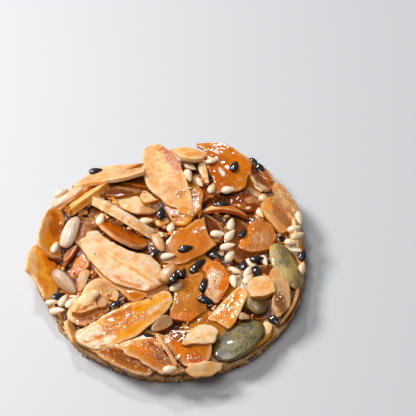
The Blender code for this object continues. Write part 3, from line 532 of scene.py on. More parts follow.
BLACK_SESAME: tuple[tuple[float, float, float], ...] = (
    (4.0, 3.4, 15), (14.3, 25.6, 70), (18.5, 26.4, -50), (19.8, 24.4, -70), (10.3, 1.5, -20),
    (7.0, -0.4, 45), (5.9, -1.6, 60), (3.3, -2.8, 65), (1.6, -3.6, 70), (7.8, -5.8, 68),
    (8.2, -9.7, -15), (16.0, -0.7, 85), (18.7, 0.8, 10), (18.8, -2.5, -70), (16.0, 7.6, 60),
    (24.0, 5.7, 20), (28.2, 1.8, 75), (22.0, -14.7, -50), (-10.2, -10.8, 40), (-15.3, 24.2, 15),
    (-21.8, -8.6, 40), (-2.4, 2.1, 40), (-3.5, -18.6, 10), (11.5, 15.0, 0), (-1.2, 12.8, 80),
)

# Angle round the wall, height and slant of each seed.
WALL_SESAME: tuple[tuple[float, float, float], ...] = (
    (-113, 1.5, 15), (-107, 1.1, -10), (-52, 1.7, 20), (-143, 2.4, 50), (-139, 1.8, 60),
    (-20, 1.5, 5), (16, 1.8, 30), (48, 1.3, -20), (83, 1.9, 10), (117, 1.4, 40), (160, 1.6, -15),
)


@dataclass(frozen=True)
class Seat:
    """Where a piece lies: its turn as a matrix, and its place."""

    matrix: Array
    place: Array

    def lay(self, points: Array) -> Array:
        """Points of the lying piece from points in its own frame."""
        return points @ self.matrix.T + self.place

    def heading(self) -> tuple[float, float, float]:
        """The turn as three angles."""
        return tuple(Matrix(self.matrix.tolist()).to_euler())


def turning(turn: float, rise: float = 0.0, lean: float = 0.0) -> Array:
    """Makes the matrix that leans a piece about X, lifts its +X end and turns it about Z.

    Args:
        turn: Its long axis from +X, seen from above.
        rise: How far its +X end is lifted.
        lean: How far its left edge is lifted.

    Returns:
        The matrix.
    """
    matrix = Matrix.Rotation(math.radians(turn), 3, "Z")
    matrix = matrix @ Matrix.Rotation(math.radians(-rise), 3, "Y")
    matrix = matrix @ Matrix.Rotation(math.radians(lean), 3, "X")
    return np.array(matrix)


def polar(reach: float, angle: float, height: float = 0.0) -> Array:
    """The point at a reach from the middle, an angle from +X in radians and a height."""
    return np.array((reach * math.cos(angle), reach * math.sin(angle), height))


def spiral_spot(k: int, count: int, reach: float, start: float = 0.0, height: float = 0.0) -> Array:
    """The place of one of several things that are spread evenly over a disc."""
    return polar(reach * math.sqrt((k + 0.5) / count), k * GOLDEN_ANGLE + start, height)


@dataclass(frozen=True)
class Profile:
    """An outline that is blunt at one end and pointed at the other, as slices and seeds have."""

    blunt: float = 0.5
    keen: float = 0.62
    end_margin: float = 0.012

    def half(self, along: float) -> float:
        """Finds the share of the full half width at a share of the length.

        Args:
            along: The share of the length, from the blunt end.

        Returns:
            The share of the half width.
        """
        widest = self.blunt / (self.blunt + self.keen)
        most = widest**self.blunt * (1 - widest) ** self.keen
        return along**self.blunt * (1 - along) ** self.keen / most

    def slice_edges(self, item: Slice, stations: int) -> tuple[Array, Array]:
        """Finds the two long edges of a slice.

        Args:
            item: The slice.
            stations: How many points each edge has.

        Returns:
            The left and the right edge, from the blunt end on, in the slice's own frame.
        """
        start = max(item.tail, self.end_margin)
        end = 1 - max(item.tip, self.end_margin)
        edges = ([], [])
        for k in range(stations):
            share = 0.5 - 0.5 * math.cos(math.pi * k / (stations - 1))
            along = start + share * (end - start)
            half = 0.5 * item.width * self.half(along)
            for edge, side in zip(edges, (1, -1)):
                edge.append(((along - 0.5 + side * item.skew) * item.length, side * half))
        return np.array(edges[0]), np.array(edges[1])


PROFILE = Profile()


def lathe(stations: list, sides: int) -> tuple[Array, list[tuple[int, ...]]]:
    """Joins rings of points between two end points into a closed body.

    Args:
        stations: One point, then rings of points, then one point.
        sides: How many points each ring has.

    Returns:
        The points and the triangles.
    """
    points = [stations[0]]
    for ring in stations[1:-1]:
        points.extend(ring)
    points.append(stations[-1])
    last = len(points) - 1
    start = 1 + (len(stations) - 3) * sides
    faces = []
    for k in range(sides):
        after = (k + 1) % sides
        faces.append((0, 1 + after, 1 + k))
        for ring in range(len(stations) - 3):
            a = 1 + ring * sides + k
            b = 1 + ring * sides + after
            faces.append((a, b, b + sides))
            faces.append((a, b + sides, a + sides))
        faces.append((start + k, start + after, last))
    return np.array(points), faces


def spindle(length: float, rings: int, sides: int, section: Callable) -> tuple[Array, list]:
    """Makes a closed body between two end points on X, its rings closer together near the ends.

    Args:
        length: Its length.
        rings: How many rings of points it has.
        sides: How many points a ring has.
        section: Gives y and z at a share of the length and an angle.

    Returns:
        Its points and triangles.
    """
    stations = [(-0.5 * length, 0.0, 0.0)]
    for k in range(1, rings + 1):
        along = 0.5 - 0.5 * math.cos(math.pi * k / (rings + 1))
        x = (along - 0.5) * length
        stations.append([(x, *section(along, TURN * side / sides)) for side in range(sides)])
    stations.append((0.5 * length, 0.0, 0.0))
    return lathe(stations, sides)


def plain_slice(item: Slice) -> tuple[Array, list[tuple[int, ...]]]:
    """Makes the plain slice that is used for laying: pairs of edge points above and below.

    Args:
        item: The slice.

    Returns:
        Its points and triangles in its own frame.
    """
    points = []
    for pair in zip(*PROFILE.slice_edges(item, 5)):
        share = (pair[0][0] - item.skew * item.length) / item.length
        hang = item.bow * (2 * share) ** 2
        for x, y in pair:
            points.append((x, y, 0.5 * item.thick - hang))
            points.append((x, y, -0.5 * item.thick - hang))
    faces = []
    for a in range(0, len(points) - 4, 4):
        b = a + 4
        top = (a, a + 2, b + 2, b)
        bottom = (b + 1, b + 3, a + 3, a + 1)
        left = (a + 1, a, b, b + 1)
        right = (a + 2, a + 3, b + 3, b + 2)
        for one, two, three, four in (top, bottom, left, right):
            faces.append((one, two, three))
            faces.append((one, three, four))
    last = len(points) - 4
    faces.extend([(0, 1, 3), (0, 3, 2), (last, last + 2, last + 3), (last, last + 3, last + 1)])
    return np.array(points), faces


def plain_kernel(size: tuple[float, float, float], rings: int, sides: int) -> tuple[Array, list]:
    """Makes the plain seed that is used for laying.

    Args:
        size: Length, width and thickness.
        rings: How many rings of points it has.
        sides: How many points a ring has.

    Returns:
        Its points and triangles, lying at the origin with the blunt end at -X.
    """
    length, width, thick = size

    def section(along: float, angle: float) -> tuple[float, float]:
        """A point of the seed's outline at a share of its length."""
        half = 0.5 * PROFILE.half(along)
        return width * half * math.cos(angle), thick * half * math.sin(angle)

    return spindle(length, rings, sides, section)


@dataclass
class Relief:
    """The height of everything laid so far, on a square grid of cells."""

    cell: float = 0.6
    half_grid: int = 56
    rests_on: float = 82
    sinks: float = 0.35
    height: Array = field(init=False)

    def __post_init__(self) -> None:
        """Starts with nothing laid."""
        side = 2 * self.half_grid + 1
        self.height = np.zeros((side, side))

    def span(self, points: Array, faces: list) -> tuple[Array, Array]:
        """Finds the lowest and highest height of a piece over each cell that it covers.

        Args:
            points: The piece's points.
            faces: Its triangles.

        Returns:
            Two grids, infinite where the piece covers nothing.
        """
        low = np.full(self.height.shape, np.inf)
        high = np.full(self.height.shape, -np.inf)
        place = points[:, :2] / self.cell + self.half_grid
        for face in faces:
            a, b, c = place[list(face)]
            za, zb, zc = points[list(face), 2]
            area = (b[0] - a[0]) * (c[1] - a[1]) - (b[1] - a[1]) * (c[0] - a[0])
            if abs(area) < 1e-6:
                continue
            first = np.maximum(np.ceil(np.min([a, b, c], axis=0)).astype(int), 0)
            last = np.minimum(np.floor(np.max([a, b, c], axis=0)).astype(int), 2 * self.half_grid)
            if (first > last).any():
                continue
            columns, rows = (np.arange(start, end + 1) for start, end in zip(first, last))
            gx, gy = np.meshgrid(columns, rows, indexing="ij")
            wb = ((gx - a[0]) * (c[1] - a[1]) - (gy - a[1]) * (c[0] - a[0])) / area
            wc = ((b[0] - a[0]) * (gy - a[1]) - (b[1] - a[1]) * (gx - a[0])) / area
            inside = (wb >= 0) & (wc >= 0) & (wb + wc <= 1)
            z = za + wb * (zb - za) + wc * (zc - za)
            gx, gy, z = gx[inside], gy[inside], z[inside]
            low[gx, gy] = np.minimum(low[gx, gy], z)
            high[gx, gy] = np.maximum(high[gx, gy], z)
        return low, high

    def cover(self, points: Array, faces: list) -> None:
        """Counts a piece as laid where it is."""
        self.height = np.maximum(self.height, self.span(points, faces)[1])

    def rest(self, points: Array, faces: list) -> float:
        """Finds how far a piece above the origin's level must rise to rest on what is laid.

        Args:
            points: The piece's points.
            faces: Its triangles.

        Returns:
            The rise.
        """
        low = self.span(points, faces)[0]
        covered = np.isfinite(low)
        if not covered.any():
            return 0.0
        return float(np.percentile(self.height[covered] - low[covered], self.rests_on)) - self.sinks


@dataclass(frozen=True)
class Disc:
    """The caramel disc's outline and heights."""

    reach_every_30: tuple[float, ...] = (
        28.0, 28.0, 27.2, 25.4, 24.6, 26.0, 27.2, 26.0, 27.0, 27.7, 28.0, 28.2,
    )
    flare: float = 0.5
    rim_height: float = 2.9
    height: float = 2.5
    steps: int = 40
    rim_wave: float = 0.35
    rim_waves: float = 5.2
    top_wave: float = 0.45
    top_waves: float = 0.21
    lifted_above: float = 1.0

    @property
    def rings(self) -> tuple[tuple[float, float, float], ...]:
        """Lists the disc's rings, from the foot up.

        Returns:
            For each ring the share of the reach, what is added to it, and the height.
        """
        return (
            (1.0, -0.6, 0.0), (1.0, 0.0, 0.5), (1.0, self.flare, self.rim_height),
            (1.0, -1.8, self.height + 0.5), (0.66, 0.0, self.height), (0.33, 0.0, self.height),
        )

    def reach(self, angle: float) -> float:
        """Finds how far the foot reaches.

        Args:
            angle: The angle from +X, in radians.

        Returns:
            The distance from the middle.
        """
        table = self.reach_every_30
        step = math.degrees(angle) % 360 / 30
        before = int(step) % len(table)
        share = 0.5 - 0.5 * math.cos(math.pi * (step - int(step)))
        reach = table[before] * (1 - share) + table[(before + 1) % len(table)] * share
        place = Vector((math.cos(angle), math.sin(angle), 0.3)) * self.rim_waves
        return reach + self.rim_wave * noise.noise(place)

    def wall(self, angle: float, height: float) -> float:
        """How far the wall reaches at a height."""
        return self.reach(angle) + self.flare * height / self.rim_height

    def lift(self, x: float, y: float) -> float:
        """The unevenness of the top."""
        return self.top_wave * noise.noise(Vector((x, y, 7.0)) * self.top_waves)

    def plain(self) -> tuple[Array, list]:
        """Makes the plain disc that is used for laying.

        Returns:
            Its points and triangles.
        """
        stations = [(0.0, 0.0, 0.0)]
        for share, beyond, height in self.rings:
            ring = []
            for k in range(self.steps):
                angle = TURN * k / self.steps
                x, y, _ = polar(share * self.reach(angle) + beyond, angle)
                ring.append((x, y, height + (self.lift(x, y) if height > self.lifted_above else 0.0)))
            stations.append(ring)
        stations.append((0.0, 0.0, self.height))
        return lathe(stations, self.steps)


DISC = Disc()


@dataclass(frozen=True)
class Spread:
    """The ranges from which the hidden slices of one layer are drawn."""

    count: int
    length: tuple[float, float]
    width: tuple[float, float]
    rise: tuple[float, float]
    lean: tuple[float, float]
    bow: float = 0.6
    thick: float = 1.3

    def slice(self, draw: random.Random) -> Slice:
        """Draws one slice."""
        length, width = draw.uniform(*self.length), draw.uniform(*self.width)
        return Slice(0, 0, 0, 0, 0, length, width, bow=self.bow, thick=self.thick)


@dataclass
class Pile:
    """Every piece in the order it is laid, and where it comes to lie."""

    seed: int = 11
    under: Spread = Spread(16, (11, 17), (6, 8.5), (-3, 3), (-7, 7))
    under_reach: float = 22.0
    rim: Spread = Spread(14, (9, 14), (3.6, 4.8), (-5, 5), (-74, -64), -0.6)
    rim_inset: float = 0.3
    rim_foot: float = 0.4
    floor_gap: float = 0.25
    sesame: tuple[float, float, float] = (3.2, 1.95, 1.1)
    sesame_rise: float = 12.0
    sesame_lean: float = 20.0
    wall_sunk: float = 0.45
    tries: int = 4
    relief: Relief = field(default_factory=Relief)
    lower: list[tuple[Slice, Seat]] = field(default_factory=list)
    shown: list[tuple[Slice | Kernel, Seat]] = field(default_factory=list)
    pale: list[Seat] = field(default_factory=list)
    black: list[Seat] = field(default_factory=list)
    before_seeds: Relief = field(default_factory=Relief)

    def settle(self, x: float, y: float, matrix: Array, points: Array, faces: list,
               held: float = 0.0) -> Seat:
        """Lays a piece on whatever already lies under it.

        Args:
            x: Its seen place across.
            y: Its seen place back.
            matrix: Its turn.
            points: Its points in its own frame.
            faces: Its triangles.
            held: The least height that its neighbours hold it at.

        Returns:
            Where it lies.
        """
        turned = points @ matrix.T
        height = SIGHT.level
        for _ in range(self.tries):
            place = SIGHT.standing_at(x, y, height)
            height = 0.5 * (height + self.relief.rest(turned + place, faces))
        rest = max(height, held, self.floor_gap - turned[:, 2].min())
        place = SIGHT.standing_at(x, y, rest) + (0, 0, rest)
        self.relief.cover(turned + place, faces)
        return Seat(matrix, place)

    def lay_under(self, draw: random.Random) -> None:
        """Lays the slices under those that show.

        Args:
            draw: Where the random numbers come from.
        """
        for k in range(self.under.count):
            place = spiral_spot(k, self.under.count, self.under_reach)
            item = self.under.slice(draw)
            points, faces = plain_slice(item)
            turn = draw.uniform(0, 360)
            matrix = turning(turn, draw.uniform(*self.under.rise), draw.uniform(*self.under.lean))
            turned = points @ matrix.T + place
            rest = (0, 0, self.relief.rest(turned, faces))
            self.relief.cover(turned + rest, faces)
            self.lower.append((item, Seat(matrix, place + rest)))

    def lay_rim(self, draw: random.Random) -> None:
        """Lays a ring of slices along the wall.

        Args:
            draw: Where the random numbers come from.
        """
        for k in range(self.rim.count):
            angle = TURN * (k + 0.3 * draw.random()) / self.rim.count
            item = self.rim.slice(draw)
            points, faces = plain_slice(item)
            along = math.degrees(angle) + 90
            matrix = turning(along, draw.uniform(*self.rim.rise), draw.uniform(*self.rim.lean))
            turned = points @ matrix.T
            place = polar(DISC.reach(angle) - self.rim_inset, angle, self.rim_foot - turned[:, 2].min())
            self.relief.cover(turned + place, faces)
            self.lower.append((item, Seat(matrix, place)))

    def lay_pieces(self, items: tuple[Slice | Kernel, ...]) -> None:
        """Lays slices, pumpkin seeds and sunflower kernels that show, in their order.

        Args:
            items: The pieces.
        """
        for item in items:
            held = 0.0
            if isinstance(item, Slice):
                points, faces = plain_slice(item)
                matrix = turning(item.turn, item.rise, item.lean)
                held = item.held
            else:
                points, faces = plain_kernel((item.length, item.width, item.thick), 4, 7)
                matrix = turning(item.turn, 0, item.lean)
            self.shown.append((item, self.settle(item.x, item.y, matrix, points, faces, held)))

    def lay_sesame(self, draw: random.Random) -> None:
        """Lays the sesame seeds scattered last, and sets those in the wall.

        Args:
            draw: Where the random numbers come from.
        """
        points, faces = plain_kernel(self.sesame, 3, 5)
        for seats, spots in ((self.pale, PALE_SESAME), (self.black, BLACK_SESAME)):
            for x, y, turn in spots:
                rise = draw.uniform(-self.sesame_rise, self.sesame_rise)
                lean = draw.uniform(-self.sesame_lean, self.sesame_lean)
                seats.append(self.settle(x, y, turning(turn, rise, lean), points, faces))
        for angle, height, slant in WALL_SESAME:
            matrix = turning(angle + 90) @ turning(0, slant, 90)
            around = math.radians(angle)
            reach = DISC.wall(around, height) - self.wall_sunk
            self.black.append(Seat(matrix, polar(reach, around, height)))

    def lay(self) -> None:
        """Lays everything, lowest first."""
        draw = random.Random(self.seed)
        self.relief.cover(*DISC.plain())
        self.lay_under(draw)
        self.lay_rim(draw)
        self.lay_pieces(PIECES)
        self.before_seeds.height = self.relief.height.copy()
        self.lay_sesame(draw)
        self.lay_pieces(EXTRAS)


def smooth_loop(points: Array, corner: float = 55.0, steps: int = 6) -> Array:
    """Draws a smooth closed line through points, with a corner where it turns sharply.

    Args:
        points: The points, two numbers each.
        corner: The turn from which a point is a corner.
        steps: How many points each stretch gets.

    Returns:
        The points of the smooth line.
    """
    before = points - np.roll(points, 1, 0)
    after = np.roll(points, -1, 0) - points
    length_before = np.linalg.norm(before, axis=1)[:, None]
    length_after = np.linalg.norm(after, axis=1)[:, None]
    cross = before[:, 0] * after[:, 1] - before[:, 1] * after[:, 0]
    turn = np.degrees(np.abs(np.arctan2(cross, (before * after).sum(axis=1))))
    tangent = before / length_before * length_after + after / length_after * length_before
    tangent /= np.linalg.norm(tangent, axis=1)[:, None]
    line = []
    for i in range(len(points)):
        j = (i + 1) % len(points)
        straight = after[i] / length_after[i]
        leaves = (straight if turn[i] > corner else tangent[i]) * length_after[i]
        arrives = (straight if turn[j] > corner else tangent[j]) * length_after[i]
        for s in np.linspace(0, 1, steps, endpoint=False):
            near = (2 * s**3 - 3 * s**2 + 1) * points[i] + (s**3 - 2 * s**2 + s) * leaves
            line.append(near + (3 * s**2 - 2 * s**3) * points[j] + (s**3 - s**2) * arrives)
    return np.array(line)


def even_loop(line: Array, spacing: float) -> Array:
    """Spaces the points of a closed line evenly.

    Args:
        line: The closed line.
        spacing: The distance between points.

    Returns:
        The new points, running counter-clockwise, with corners slightly rounded.
    """
    closed = np.vstack((line, line[:1]))
    run = np.concatenate(((0,), np.cumsum(np.linalg.norm(np.diff(closed, axis=0), axis=1))))
    count = max(int(round(run[-1] / spacing)), 12)
    at = np.linspace(0, run[-1], count, endpoint=False)
    even = np.column_stack([np.interp(at, run, closed[:, axis]) for axis in (0, 1)])
    even = 0.6 * even + 0.2 * (np.roll(even, 1, 0) + np.roll(even, -1, 0))
    x, y = even.T
    area = (x * np.roll(y, -1) - y * np.roll(x, -1)).sum()
    return even if area > 0 else even[::-1].copy()


def outward(line: Array) -> Array:
    """Finds the outward directions along a closed line.

    Args:
        line: The line's points, counter-clockwise.

    Returns:
        One direction for each point.
    """
    along = np.roll(line, -1, 0) - np.roll(line, 1, 0)
    along /= np.maximum(np.linalg.norm(along, axis=1), 1e-9)[:, None]
    return np.column_stack((along[:, 1], -along[:, 0]))


def distance(points: Array, line: Array) -> Array:
    """How far points are from the nearest point of a line."""
    return np.sqrt(((points[:, None] - line[None]) ** 2).sum(axis=2)).min(axis=1)


def inside_loop(points: Array, line: Array) -> Array:
    """Tells which points lie inside a closed line.

    Args:
        points: The points.
        line: The closed line.

    Returns:
        True for each point inside.
    """
    x, y = points[:, :1], points[:, 1:]
    ax, ay = line.T
    bx, by = np.roll(line, -1, 0).T
    crosses = (ay > y) != (by > y)
    level = np.where(by == ay, 1e-9, by - ay)
    return (crosses & (x < (bx - ax) * (y - ay) / level + ax)).sum(axis=1) % 2 == 1


def placed(obj: Object) -> Object:
    """Links an object to the scene and gives it back."""
    bpy.context.scene.collection.objects.link(obj)
    return obj


@dataclass
class Body:
    """A mesh in the making: points, faces and one value of each layer for every point."""

    points: list[Array] = field(default_factory=list)
    faces: list[tuple[int, ...]] = field(default_factory=list)
    layers: dict[str, list[Array]] = field(default_factory=dict)
    count: int = 0
    crisp: float = 50.0

    def add(self, points: Array, faces: list, **layers: Array) -> None:
        """Adds a closed piece.

        Args:
            points: Its points, in millimetres.
            faces: Its faces.
            layers: For each layer one number, or three, for every point.
        """
        self.points.append(points)
        self.faces.extend(tuple(i + self.count for i in face) for face in faces)
        for name, values in layers.items():
            self.layers.setdefault(name, []).append(np.asarray(values))
        self.count += len(points)

    def make(self, name: str, material: Material) -> Object:
        """Makes the object.

        Args:
            name: The object's name.
            material: Its finish.

        Returns:
            The object, in the scene.
        """
        mesh = bpy.data.meshes.new(name)
        mesh.from_pydata((np.vstack(self.points) * MM).tolist(), [], self.faces)
        for layer, parts in self.layers.items():
            values = np.concatenate(parts)
            kind, key = ("FLOAT", "value") if values.ndim == 1 else ("FLOAT_VECTOR", "vector")
            if layer == "tint":
                values = np.column_stack((values, np.ones(len(values))))
                kind, key = "FLOAT_COLOR", "color"
            mesh.attributes.new(layer, kind, "POINT").data.foreach_set(key, values.ravel())
        mesh.update()
        mesh.shade_smooth()
        mesh.set_sharp_from_angle(angle=math.radians(self.crisp))
        mesh.materials.append(material)
        return placed(bpy.data.objects.new(name, mesh))


def dress(obj: Object) -> None:
    """Attaches a piece to the biscuit, hides the plain part that it replaces and logs its size.

    Args:
        obj: The piece.
    """
    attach(obj, BODY)
    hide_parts(NODE)
    log.info("%s: %d faces", obj.name, len(obj.data.polygons))


def grain_noise(points: Array, scale: float, seed: float) -> Array:
    """Smooth unevenness between -1 and 1 at points; a larger scale gives smaller bumps."""
    shift = Vector((seed * 3.7, seed * 5.3, seed * 7.1))
    return np.array([noise.noise(Vector(point) * scale + shift) for point in points])


@dataclass
class SliceMaker:
    """Builds one almond slice: its closed mesh, its browning and its glaze."""

    spacing: float = 0.36
    under_spacing: float = 0.7
    bevel: float = 0.08
    bevel_width: float = 0.3
    ragged: float = 0.14
    crest: float = 0.09
    bulge: float = 0.05
    bulge_wave: float = 0.06
    most_front: float = 0.3
    stations: int = 24

    def seen_outline(self, item: Slice, seat: Seat) -> Array:
        """Throws a slice's seen outline onto the plane of its upper face.

        Args:
            item: The slice.
            seat: Where it lies.

        Returns:
            The outline in the slice's own frame.
        """
        line = even_loop(smooth_loop(np.array(item.outline)), self.spacing)
        front = np.clip(-1.6 * outward(line)[:, 1], 0, 1)
        x, y = line.T
        area = 0.5 * abs((x * np.roll(y, -1) - y * np.roll(x, -1)).sum())
        narrow = 2 * area / np.linalg.norm(line - np.roll(line, 1, 0), axis=1).sum()
        line[:, 1] += min(SIGHT.slope * item.heft * item.thick, self.most_front * narrow) * front
        rays = SIGHT.rays(line) @ seat.matrix
        eye = (SIGHT.eye - seat.place) @ seat.matrix
        height = np.full(len(line), 0.5 * item.thick)
        for _ in range(4):
            reach = (height - eye[2]) / rays[:, 2]
            flat = eye[:2] + reach[:, None] * rays[:, :2]
            height = 0.5 * item.thick - self.hang(item, flat[:, 0])
        return flat

    @staticmethod
    def hang(item: Slice, along: Array) -> Array:
        """How far the slice hangs below its middle, at most what its two ends do."""
        return item.bow * np.clip(2 * along / item.length, -1.15, 1.15) ** 2

    def outline(self, item: Slice, seat: Seat, seed: float) -> Array:
        """Finds a slice's outline in its own frame, with its ragged edge.

        Args:
            item: The slice.
            seat: Where it lies.
            seed: Shifts the raggedness.

        Returns:
            Evenly spaced points, counter-clockwise.
        """
        if item.outline:
            line = self.seen_outline(item, seat)
        else:
            left, right = PROFILE.slice_edges(item, self.stations)
            line = np.vstack((right, left[::-1]))
        line = even_loop(line, self.spacing)
        flat = np.column_stack((line, np.zeros(len(line))))
        uneven = grain_noise(flat, 0.7, seed) + 0.5 * grain_noise(flat, 1.9, seed + 1)
        return line + outward(line) * (self.ragged * item.ragged * uneven)[:, None]

    @staticmethod
    def filling(line: Array, spacing: float) -> Array:
        """Spreads points evenly inside an outline, clear of it.

        Args:
            line: The outline.
            spacing: The distance between points.

        Returns:
            The points.
        """
        low, high = line.min(axis=0), line.max(axis=0)
        rows = np.arange(low[1], high[1], spacing * math.sqrt(3) / 2)
        grid = []
        for k, y in enumerate(rows):
            start = low[0] + (0.5 * spacing if k % 2 else 0.0)
            xs = np.arange(start, high[0], spacing)
            grid.append(np.column_stack((xs, np.full(len(xs), y))))
        points = np.vstack(grid)
        points = points[inside_loop(points, line)]
        return points[distance(points, line) > 0.6 * spacing]

    @staticmethod
    def fill(line: Array, inner: Array) -> list[tuple[int, ...]]:
        """Fills an outline with triangles.

        Args:
            line: The outline, counter-clockwise.
            inner: Points inside it.

        Returns:
            Triangles whose numbers count the outline's points first and then the inner ones.
        """
        every = [Vector(point) for point in np.vstack((line, inner))]
        edges = [(k, (k + 1) % len(line)) for k in range(len(line))]
        _, _, faces, origin, _, _ = delaunay_2d_cdt(every, edges, [], 1, 1e-7)
        return [tuple(origin[k][0] for k in face) for face in faces if all(origin[k] for k in face)]

    def build(self, body: Body, item: Slice, seat: Seat, seed: int) -> None:
        """Adds a slice to a mesh.

        Args:
            body: The mesh in the making.
            item: The slice.
            seat: Where it lies.
            seed: Makes it differ from the others.
        """
        line = self.outline(item, seat, seed)
        upper = self.filling(line, self.spacing)
        under = self.filling(line, self.under_spacing)
        rim = len(line)
        mid = rim + len(upper)
        low = mid + rim
        uneven = self.bulge_wave * grain_noise(np.column_stack((line, line[:, :1])), 1.3, seed)
        bulged = line + outward(line) * (self.bulge + uneven)[:, None]
        flat = np.vstack((line, upper, bulged, line, under))
        away = distance(flat, line)
        level = np.full(len(flat), 0.5 * item.thick)
        level[mid:low] -= 0.5 * item.heft * item.thick
        level[low:] -= item.heft * item.thick
        side = np.zeros(len(flat))
        side[:rim] = 0.5
        side[rim:mid] = 1
        side[low:] = -1
        local = self.shape(item, np.column_stack((flat, level)), away, side, seed)
        seen = SIGHT.seen(seat.lay(local))
        inner = (side > 0) * smooth_step(away, 0.0, 0.8)
        for k, pool in enumerate(item.pools):
            if pool.lift:
                local[:, 2] += pool.lift * pool.weight(seen, seed + POOL_SHIFT * k) * inner
        points = seat.lay(local)
        faces = self.fill(line, upper)
        for k in range(rim):
            after = (k + 1) % rim
            faces.append((mid + k, mid + after, after, k))
            faces.append((low + k, low + after, mid + after, mid + k))
        faces += [tuple(low + k for k in reversed(face)) for face in self.fill(line, under)]
        tint, wet, froth = self.paint(item, points, local, away, side, seed)
        grain = local + (17.0 * (seed % 7), 13.0 * (seed % 11), 5.0 * seed)
        freckle = np.full(len(points), item.freckle)
        body.add(points, faces, tint=tint, wet=wet, froth=froth, freckle=freckle, grain=grain)

    def shape(self, item: Slice, flat: Array, away: Array, side: Array,
              seed: int) -> Array:
        """Bends a slice's points, rounds its edge and makes its faces uneven.

        Args:
            item: The slice.
            flat: Its points on level faces.
            away: Their distance from the outline.
            side: 1 on the upper face, 0 on the cut edge and -1 below.
            seed: Makes it differ from the others.

        Returns:
            The points in the slice's own frame.
        """
        rounding = self.bevel * (1 - smooth_step(away, 0.0, self.bevel_width))
        crest = self.crest * grain_noise(flat * (0.6, 1, 1), 0.32, seed) * smooth_step(away, 0.2, 1.5)
        z = flat[:, 2] - np.sign(side) * rounding + crest - self.hang(item, flat[:, 0])
        return np.column_stack((flat[:, :2], z))

    @staticmethod
    def paint(item: Slice, points: Array, local: Array, away: Array, side: Array,
              seed: int) -> tuple[Array, Array, Array]:
        """Gives each point of a slice its colour and glaze.

        Args:
            item: The slice.
            points: Its points where they lie.
            local: The same points in its own frame.
            away: Their distance from the outline.
            side: 1 on the upper face, 0 on the cut edge and -1 below.
            seed: Makes it differ from the others.

        Returns:
            The colours, the glaze and the froth.
        """
        above = side > 0
        spread = grain_noise(local, 0.22, seed + 3)
        share = np.clip(item.share + 0.5 * spread, 0, 1)[:, None]
        other = (item.other or item.tone).colour
        tint = (item.tone.colour * (1 - share) + other * share) * item.shade
        wet = np.where(above, item.wet, 0.3 * item.wet)
        froth = np.where(above, item.froth, 0.0)
        # The pale band along a slice's edge is partly the paler bare almond at the cut and partly a painted
        # highlight where the edge catches light.
        pale = item.rim * (1 - smooth_step(away, 0.2, 0.6 + 0.8 * item.rim + 0.7 * spread)) * above
        tint += pale[:, None] * 0.85 * (PALE.colour - tint)
        seen = SIGHT.seen(points)
        for k, pool in enumerate(item.pools):
            weight = pool.weight(seen, seed + POOL_SHIFT * k) * above
            if pool.tone:
                tint += weight[:, None] * (pool.tone.colour - tint)
            wet += weight * (pool.wet - wet) * (pool.wet > 0)
            froth = np.maximum(froth, weight * pool.froth)
        edge = np.where(side == 0.5, 0.55, 1.0) * ((side == 0) | (side == 0.5))
        tint += edge[:, None] * (item.side.colour * (0.9 + 0.1 * item.shade) - tint)
        tint *= (1 + 0.10 * spread)[:, None]
        return np.clip(tint, 0.002, 0.9), np.clip(wet, 0, 1), np.clip(froth, 0, 1)


